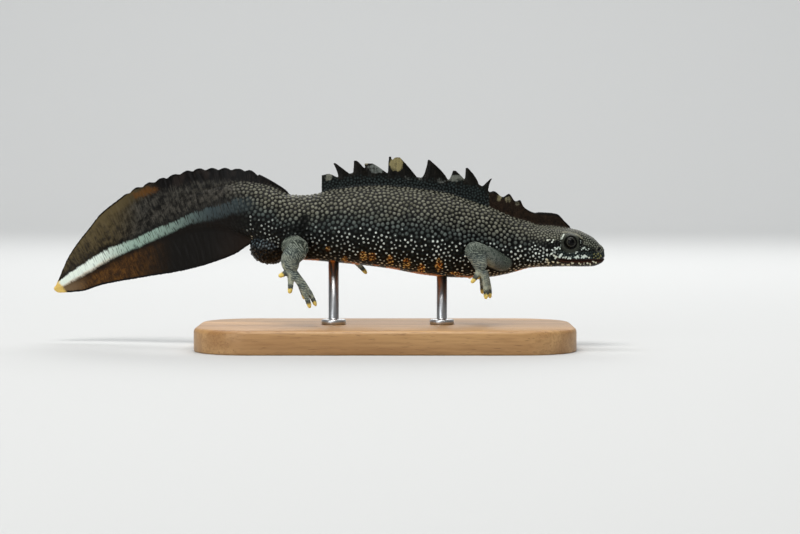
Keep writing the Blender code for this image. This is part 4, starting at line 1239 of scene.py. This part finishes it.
def with_lids(face, look):
    """Grey lids with a dark edge at the eye, painted shadow in the hollows of the face, and the pale brow.
    """
    fine, grain = look.fine, look.grain
    from_eye = look.kept("from_eye") + (grain - 0.5) * 0.25
    lids = (fine * 0.8 + grain * 0.3).rise(0.35, 0.75).blend(shade(26, 28, 24), shade(72, 75, 65))
    face = ((from_eye + (look.blotch - 0.5) * 0.9).rise(2.35, 1.8) * 0.9).blend(face, lids)
    # Painted shadow in the hollows before and behind the eye and on the snout
    shadow = (look.kept("shadow") * 0.85 + (fine - 0.5) * 0.4).rise(0.15, 0.75)
    face = shadow.blend(face, shade(9, 10, 8))
    brow = (look.kept("brow") * 0.9 + (grain - 0.5) * 0.5).rise(0.2, 0.75)
    face = brow.blend(face, shade(122, 121, 104))
    return from_eye.rise(1.5, 1.38).blend(face, shade(20, 20, 17))


def with_marks(colour, look):
    """White, cream and yellow marks on the face, and painted shade in the mouth line and nostrils."""
    fine, yellow = look.fine, look.kept("mark_yellow")
    mark = (look.kept("mark") + look.on_dome * 0.35 + (fine - 0.5) * 0.35 - 0.22).rise(0.3, 0.62)
    mark_colour = yellow.blend(shade(208, 218, 208), shade(228, 208, 158))
    mark_colour = yellow.rise(0.8, 1).blend(mark_colour, shade(134, 130, 84))
    colour = (mark * fine.rise(0.1, 0.5)).blend(colour, mark_colour)
    # Painted shade darkens the mouth line and the nostrils
    return look.kept("hollow_shade").rise(0.2, 0.7).blend(colour, shade(14, 9, 7))


def with_tail(colour, look):
    """Grey-brown muscle, mottled and finely streaked square to the stripe, and olive behind."""
    tail = look.mottle.rise(0.38, 0.66).blend(shade(17, 16, 14), shade(68, 65, 59))
    tail = look.along.rise(-40, -50).blend(tail, look.olive)
    tail = (look.above + look.streak * 1.5).rise(0.9, -0.6).blend(tail, shade(28, 20, 12))
    return look.along.rise(-16, -23).blend(colour, tail)


def with_fins(colour, look):
    """Fins that are nearly black ahead and olive or rust-brown behind, with a black edge."""
    along, grain, edge = look.along, look.grain, look.kept("edge")
    on_upper, on_lower = look.kept("upper_fin"), look.kept("lower_fin")
    upper = (look.kept("cloud") * 0.3 + look.streak * 2).rise(0.8, 1.6)
    upper = upper.blend(shade(12, 10, 9), shade(34, 28, 25))
    upper = along.rise(-36, -48).blend(upper, look.olive)
    amber_along = (along - AMBER_PLACE[0]) * 0.36
    amber_above = (look.height - AMBER_PLACE[1] - (along - AMBER_PLACE[0]) * AMBER_TILT) * 1.1
    amber = amber_along * amber_along + amber_above * amber_above
    amber = (amber + (look.blotch - 0.5) * 3 + (grain - 0.5) * 2).rise(1.8, 0)
    upper = (amber * 0.7).blend(upper, shade(98, 62, 22))
    lower = along.rise(-15, -27).blend(shade(48, 32, 20), shade(22, 17, 11))
    rust = (look.mottle + (look.fine - 0.5) * 0.3).rise(0.35, 0.75)
    rust = rust.blend(shade(70, 43, 15), shade(160, 106, 40))
    lower = along.rise(-33, -47).blend(lower, rust)
    # Pale near the tip: partly its own colour and partly painted light shining through the thin fin
    lower = along.rise(-52, -57.5).blend(lower, shade(172, 140, 104))
    band = (edge + (look.streak - 0.5) * 2.5 + (grain - 0.5) * 0.8).rise(3.6, 2.2)
    colour = (on_upper * band).blend(colour, upper)
    colour = on_lower.blend(colour, lower)
    outline = (on_upper + on_lower).rise(0.3, 0.7) * (edge + (grain - 0.5) * 0.4).rise(0.6, 0.3)
    return outline.blend(colour, shade(9, 8, 7))


def with_stripe(colour, look):
    """The silvery stripe, with a black line over it, ragged edges and dark hatches across it."""
    along, grain = look.along, look.grain
    hatching = look.streaks(0.1, HATCH_SIZE, 2)
    ragged_edge = (hatching - 0.5) * (along.rise(-42, -22) * 1.4 + 0.5)
    way = look.kept("stripe_way") + ragged_edge + (grain - 0.5) * 0.3 + (look.blotch - 0.5) * 0.6
    in_tail = along.rise(-13, -20)
    colour = (way.rise(2.4, 1.3) * in_tail * 0.6).blend(colour, shade(11, 11, 10))
    in_stripe = way.rise(1.2, 0.7) * way.rise(-1.4, -0.7) * in_tail
    in_stripe = in_stripe * (along.rise(-17, -34) * 0.55 + 0.45)
    hatch = hatching.rise(0.5, 0.64) * along.rise(-62, -42)
    silver = along.rise(-24, -42).blend(shade(66, 78, 81), shade(150, 174, 160))
    silver = along.rise(-42, -53).blend(silver, shade(228, 238, 226))
    silver = (way.rise(-0.4, -1.1) * along.rise(-44, -50) * 0.6).blend(silver, shade(206, 180, 148))
    colour = (in_stripe * (1 - hatch * 0.85)).blend(colour, silver)
    # The pale tip of the tail: partly its own colour and partly painted light shining through the thin skin
    tail_end = (look.kept("tail_along") + (grain - 0.5) * 1.2).rise(2.2, 1.3) * along.rise(-50, -55)
    return tail_end.blend(colour, look.fine.blend(shade(208, 160, 74), shade(240, 214, 128)))


def with_crest(colour, look):
    """Granular blue-black root, smooth brown-black teeth, a brown nape fold and pale patches."""
    grain, blotch, rib = look.grain, look.blotch, look.kept("rib")
    streaks = grain * 0.6 + blotch * 0.4
    teeth = (streaks + rib * 0.08).rise(0.35, 0.7).blend(shade(8, 8, 6), shade(27, 24, 19))
    root = look.on_dome.blend(shade(8, 11, 10), shade(40, 48, 47))
    crest = (look.kept("up_crest") + (blotch - 0.5) * 0.9).rise(0.6, 1.05).blend(root, teeth)
    # A painted rim of backlight lightens the top edges of the teeth
    crest = (look.kept("rim") * 0.3).blend(crest, shade(64, 59, 50))
    nape = (streaks + rib * 0.06).rise(0.3, 0.75).blend(shade(20, 14, 9), shade(46, 34, 24))
    nape = (look.kept("edge") + (grain - 0.5) * 0.4).rise(0.7, 0.3).blend(nape, shade(12, 9, 7))
    colour = look.kept("crest").rise(0.3, 0.7).blend(colour, crest)
    colour = look.kept("nape").rise(0.3, 0.7).blend(colour, nape)
    pale = look.kept("crest_pale")
    ragged_pale = ((blotch - 0.5) * 1.8 + (grain - 0.5) * 0.8 + rib * 0.12) * pale.rise(0, 0.3)
    pale_colour = look.kept("crest_cream").blend(shade(104, 109, 105), shade(144, 133, 92))
    speckle = (look.fine * 0.7 + rib * 0.2 + 0.2).rise(0.15, 0.7)
    return (pale + ragged_pale).rise(0.3, 0.95).blend(colour, speckle.blend(shade(66, 63, 54), pale_colour))


def with_vent(colour, look):
    """Black-brown lumps round the vent, blue-grey ones on the upper half."""
    lump = look.on_dome * (look.height + (look.blotch - 0.5) * 3).rise(20.8, 22.2)
    vent = look.on_dome.blend(shade(8, 7, 5), look.tone.blend(shade(22, 18, 12), shade(48, 37, 24)))
    vent = lump.blend(vent, look.tone.blend(shade(40, 48, 52), shade(100, 112, 117)))
    return look.kept("vent").rise(0.4, 0.8).blend(colour, vent)


def with_legs(colour, look):
    """Grey legs with fine ridges, pale partly with painted highlight, and banded digits with cream and
    orange tips.
    """
    fine, grain, blotch = look.fine, look.grain, look.blotch
    short_of_tip = look.kept("tip") + grain - 0.5
    leg = (fine * 0.6 + grain * 0.3 + look.on_dome * 0.12).rise(0.3, 0.7)
    leg = leg.blend(shade(30, 35, 31), shade(88, 96, 87))
    foot = fine.blend(shade(46, 53, 58), shade(102, 112, 112))
    leg = (short_of_tip.rise(8, 4) * 0.7).blend(leg, foot)
    ridge_and_highlight = (look.kept("ridge_and_highlight") + (fine - 0.5) * 0.6).rise(0.2, 0.9)
    # The pale lines along the ridges are partly painted highlight
    leg = (ridge_and_highlight * 0.85).blend(leg, shade(156, 164, 150))
    joint = short_of_tip.rise(3, 2.5) * short_of_tip.rise(1.8, 2.3) + short_of_tip.rise(5.2, 4.7) * 0.5
    joint = joint * blotch.rise(0.35, 0.6)
    leg = (joint * 0.6).blend(leg, shade(170, 172, 150))
    spot = short_of_tip.rise(2.1, 1.7) * (blotch + (grain - 0.5) * 0.6).rise(0.3, 0.5)
    leg = (spot * 0.6).blend(leg, shade(32, 37, 38))
    tip_end = fine.rise(0.3, 0.7).blend(shade(240, 224, 136), shade(224, 186, 86))
    leg = short_of_tip.rise(1.3, 0.9).blend(leg, tip_end)
    return look.kept("limb").rise(0.35, 0.75).blend(colour, leg)


def skin_material():
    material, shader, start = new_material("newt skin")
    look = SkinLook(start)
    colour = trunk_colour(look)
    for part in (with_belly, with_head, with_marks, with_tail, with_fins, with_stripe, with_crest,
                 with_vent, with_legs):
        colour = part(colour, look)
    colour.feed(shader, "Base Color")
    gloss = 0.36 + (look.fine - 0.5) * 0.25
    (gloss - look.kept("vent") * 0.12).feed(shader, "Roughness")
    shader.inputs["Specular IOR Level"].default_value = 0.09
    fine_grain = {"Height": look.fine, "Strength": 0.25, "Distance": FINE_DEPTH}
    start.node("Bump", {}, fine_grain, "Normal").feed(shader, "Normal")
    return material


covered.shade_smooth()
covered.materials.clear()
covered.materials.append(skin_material())
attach(skin, "root")
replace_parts(skin, *[row["node"] for row in frame["record"]["subparts"]
                    if row["material_slot"] in ("skin", "fin", "leg_skin")])

# The eyes
# In life each is a dark, wet ball with a clear bulge in front, a round pupil and a thin grey-gold
# ring. Here it is one glossy piece, which sits in its socket under the lids.
CORNEA_RISE = 0.07
BALL_SIDES = 96
BALL_RINGS = 64


def eye_material():
    material, shader, start = new_material("newt eye")
    off_axis = start.kept("off_axis")
    flecks = start.noise(millimetres(start), 0.09, 2)
    iris = flecks.rise(0.45, 0.75).blend(shade(9, 9, 8), shade(32, 31, 26))
    ring = (1 - ((off_axis - 0.85) * (off_axis - 0.85)).rise(0.001, 0.007)) * flecks.rise(0.2, 0.6)
    colour = (ring * 0.8).blend(iris, shade(76, 76, 66))
    colour = (off_axis + (flecks - 0.5) * 0.06).rise(0.64, 0.58).blend(colour, shade(3, 3, 3))
    colour = off_axis.rise(1.2, 1.34).blend(colour, shade(17, 17, 14))
    colour.feed(shader, "Base Color")
    shader.inputs["Roughness"].default_value = 0.18
    shader.inputs["Specular IOR Level"].default_value = 0.1
    return material


def make_eye(name, side, material):
    outward = eye_axis(side)
    ahead = outward.orthogonal().normalized()
    above = outward.cross(ahead)
    centre = eye_centre(side) + (ORIGIN_SHIFT, 0, 0)
    turns = np.arange(BALL_SIDES) * 2 * pi / BALL_SIDES
    spokes = np.outer(np.cos(turns), ahead) + np.outer(np.sin(turns), above)
    rows, off_axis = [], []
    for lean in np.linspace(0.01, pi - 0.01, BALL_RINGS):
        radius = EYE_RADIUS - CORNEA_RISE * (1 - cos(lean) ** 6 * (cos(lean) > 0))
        rows.append(centre + radius * (cos(lean) * np.array(outward) + sin(lean) * spokes))
        off_axis += [radius * sin(lean) if cos(lean) > 0 else EYE_RADIUS] * BALL_SIDES
    eye = new_piece(name, np.concatenate(rows) * MM, loft_faces(BALL_RINGS, BALL_SIDES))
    eye.data.attributes.new("off_axis", "FLOAT", "POINT").data.foreach_set("value", off_axis)
    eye.data.shade_smooth()
    eye.data.materials.append(material)
    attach(eye, "root")
    return eye


eye_look = eye_material()
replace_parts(make_eye("eyeball_right", -1, eye_look), "eye_right")
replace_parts(make_eye("eyeball_left", 1, eye_look), "eye_left")

# The base of the stand
# It would be sawn from oak, rounded at the edges with a router and oiled.
# It is a slab with round corners, its grain running along the animal.
BASE_CENTRE_X = 12
BASE_HALF_LENGTH = 40
BASE_HALF_WIDTH = 20
BASE_CORNER = 12
BASE_HEIGHT = 5
# Each level: its height and how far its outline lies inside the full one
BASE_LEVELS = (
    (0, 0.35), (0.1, 0.1), (0.35, 0), (4, 0), (4.4, 0.06), (4.7, 0.22), (4.9, 0.5), (BASE_HEIGHT, 0.9),
)
CORNER_STEPS = 20


def loft_piece(name, rings, material):
    """A closed piece through rings of equal count, that rides on the model's one body."""
    rings = np.array(rings, float) + (ORIGIN_SHIFT, 0, 0)
    faces = loft_faces(*rings.shape[:2])
    # The bottom face looks down
    faces[0].reverse()
    piece = new_piece(name, rings.reshape(-1, 3) * MM, faces)
    piece.data.shade_smooth()
    piece.data.materials.append(material)
    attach(piece, "root")
    return piece


def base_ring(height, inset):
    points = []
    corners = ((1, 1, 0), (-1, 1, 1), (-1, -1, 2), (1, -1, 3))
    for sign_x, sign_y, quarter in corners:
        for i in range(CORNER_STEPS + 1):
            turn = (quarter + i / CORNER_STEPS) * pi / 2
            reach = BASE_CORNER - inset
            points.append((
                BASE_CENTRE_X + sign_x * (BASE_HALF_LENGTH - BASE_CORNER) + reach * cos(turn),
                sign_y * (BASE_HALF_WIDTH - BASE_CORNER) + reach * sin(turn), height,
            ))
    return points


def oak_material():
    material, shader, start = new_material("oiled oak")
    place = millimetres(start)
    long_grain = start.node("VectorMath", {"operation": "MULTIPLY"}, {0: place, 1: (0.05, 1, 0.6)})
    bands = start.noise(long_grain, 3.2, 3)
    fibres = start.noise(long_grain, 0.35, 3)
    pores = start.noise(long_grain, 0.16, 2).rise(0.6, 0.72)
    colour = bands.rise(0.3, 0.7).blend(shade(166, 122, 74), shade(196, 154, 102))
    colour = (fibres.rise(0.4, 0.7) * 0.4).blend(colour, shade(140, 98, 56))
    colour = (pores * 0.5).blend(colour, shade(96, 62, 34))
    colour.feed(shader, "Base Color")
    (0.42 + pores * 0.2).feed(shader, "Roughness")
    bump = start.node("Bump", {}, {"Height": fibres, "Strength": 0.2, "Distance": 0.0001}, "Normal")
    bump.feed(shader, "Normal")
    return material


base = loft_piece("oak_base", [base_ring(*level) for level in BASE_LEVELS], oak_material())
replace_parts(base, "stand_base")

# The rods of the stand
# They would be turned from steel bar with a flat foot, brushed, and screwed up through the base.
# Each ends a little way inside the skin of the belly.
ROD_RADIUS = 1.1
ROD_FOOT_RADIUS = 2.6
ROD_FOOT_TOP = 6.1
ROD_SINK = 0.5
ROD_SIDES = 64
ROD_PLACES = (("front", 24), ("rear", 1))


def steel_material():
    material, shader, start = new_material("brushed steel")
    brushed = start.node("VectorMath", {"operation": "MULTIPLY"}, {0: millimetres(start), 1: (1, 1, 12)})
    lines = start.noise(brushed, 1.2, 3)
    lines.blend(shade(176, 177, 178), shade(222, 223, 224)).feed(shader, "Base Color")
    shader.inputs["Metallic"].default_value = 1
    (0.26 + lines * 0.16).feed(shader, "Roughness")
    return material


def make_rod(name, x, material):
    top = belly(x) + ROD_SINK
    turns = np.arange(ROD_SIDES) * 2 * pi / ROD_SIDES
    turned = (
        (ROD_FOOT_RADIUS - 0.15, BASE_HEIGHT), (ROD_FOOT_RADIUS, BASE_HEIGHT + 0.15),
        (ROD_FOOT_RADIUS, ROD_FOOT_TOP - 0.3), (ROD_FOOT_RADIUS - 0.08, ROD_FOOT_TOP - 0.1),
        (ROD_FOOT_RADIUS - 0.3, ROD_FOOT_TOP), (ROD_RADIUS + 0.3, ROD_FOOT_TOP),
        (ROD_RADIUS + 0.08, ROD_FOOT_TOP + 0.08), (ROD_RADIUS, ROD_FOOT_TOP + 0.3), (ROD_RADIUS, top),
    )
    rings = []
    for radius, height in turned:
        level = np.full(ROD_SIDES, height)
        rings.append(np.stack((x + radius * np.cos(turns), radius * np.sin(turns), level), 1))
    return loft_piece(name, rings, material)


steel = steel_material()
for place_name, x in ROD_PLACES:
    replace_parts(make_rod(f"steel_rod_{place_name}", x, steel), f"stand_rod_{place_name}")

# The floor, the lights and the camera
# A pale studio sweep stands under and behind the model.
# Large soft lights hang above and beside it, and the camera looks at its right side.
FLOOR_RADIUS = 0.35
FLOOR_DEPTH = 0.9
FLOOR_HALF_WIDTH = 2.2
FLOOR_FRONT = -1.4
SWEEP_STEPS = 16
WALL_HEIGHT = 1.8
CAMERA_AIM = (0.0151 + ORIGIN_SHIFT * MM, 0, 0.0172)
CAMERA_ELEVATION = 2.5
CAMERA_DISTANCE = 0.4722


def make_floor():
    line = [(FLOOR_FRONT, 0)]
    for turn in np.linspace(0, pi / 2, SWEEP_STEPS + 1):
        line.append((FLOOR_DEPTH + FLOOR_RADIUS * sin(turn), FLOOR_RADIUS * (1 - cos(turn))))
    line.append((FLOOR_DEPTH + FLOOR_RADIUS, WALL_HEIGHT))
    points = [(side * FLOOR_HALF_WIDTH, y, z) for y, z in line for side in (-1, 1)]
    faces = [(2 * i, 2 * i + 1, 2 * i + 3, 2 * i + 2) for i in range(len(line) - 1)]
    floor = new_piece("studio_floor", points, faces)
    floor.data.shade_smooth()
    pale = bpy.data.materials.new("studio pale")
    pale.use_nodes = True
    shader = pale.node_tree.nodes["Principled BSDF"]
    shader.inputs["Base Color"].default_value = (0.56, 0.565, 0.56, 1)
    shader.inputs["Roughness"].default_value = 0.8
    floor.data.materials.append(pale)


def area_light(name, place, aim, size, power, colour):
    data = bpy.data.lights.new(name, "AREA")
    data.shape = "RECTANGLE"
    data.size, data.size_y = size
    data.energy = power
    data.color = colour
    light = bpy.data.objects.new(name, data)
    light.location = place
    light.rotation_euler = (Vector(aim) - Vector(place)).to_track_quat("-Z", "Y").to_euler()
    bpy.context.scene.collection.objects.link(light)


make_floor()
area_light("key", (-0.05, -0.28, 0.58), (0, 0, 0.02), (0.3, 0.22), 2.5, (1, 0.98, 0.95))
area_light("front", (-0.35, -0.6, 0.2), (0, 0, 0.02), (0.4, 0.4), 1.3, (0.93, 0.97, 1))
area_light("back", (0.1, 0.5, 0.45), (0, 0, 0.02), (0.6, 0.3), 1.6, (1, 1, 1))
area_light("wall", (0, 0.35, 1.3), (0, 1.25, 0.35), (1.6, 0.5), 18, (1, 1, 1))
world = bpy.data.worlds.new("studio")
world.use_nodes = True
world.node_tree.nodes["Background"].inputs["Color"].default_value = (0.9, 0.95, 1, 1)
world.node_tree.nodes["Background"].inputs["Strength"].default_value = 0.22
bpy.context.scene.world = world
bpy.context.scene.view_settings.view_transform = "Standard"

camera_data = bpy.data.cameras.new("camera")
camera_data.lens = 100
camera_data.sensor_width = 36
camera_data.clip_start = 0.01
camera = bpy.data.objects.new("camera", camera_data)
back_way = Vector((0, -cos(radians(CAMERA_ELEVATION)), sin(radians(CAMERA_ELEVATION))))
camera.location = Vector(CAMERA_AIM) + back_way * CAMERA_DISTANCE
camera.rotation_euler = (-back_way).to_track_quat("-Z", "Y").to_euler()
bpy.context.scene.collection.objects.link(camera)
bpy.context.scene.camera = camera

bpy.context.view_layer.update()
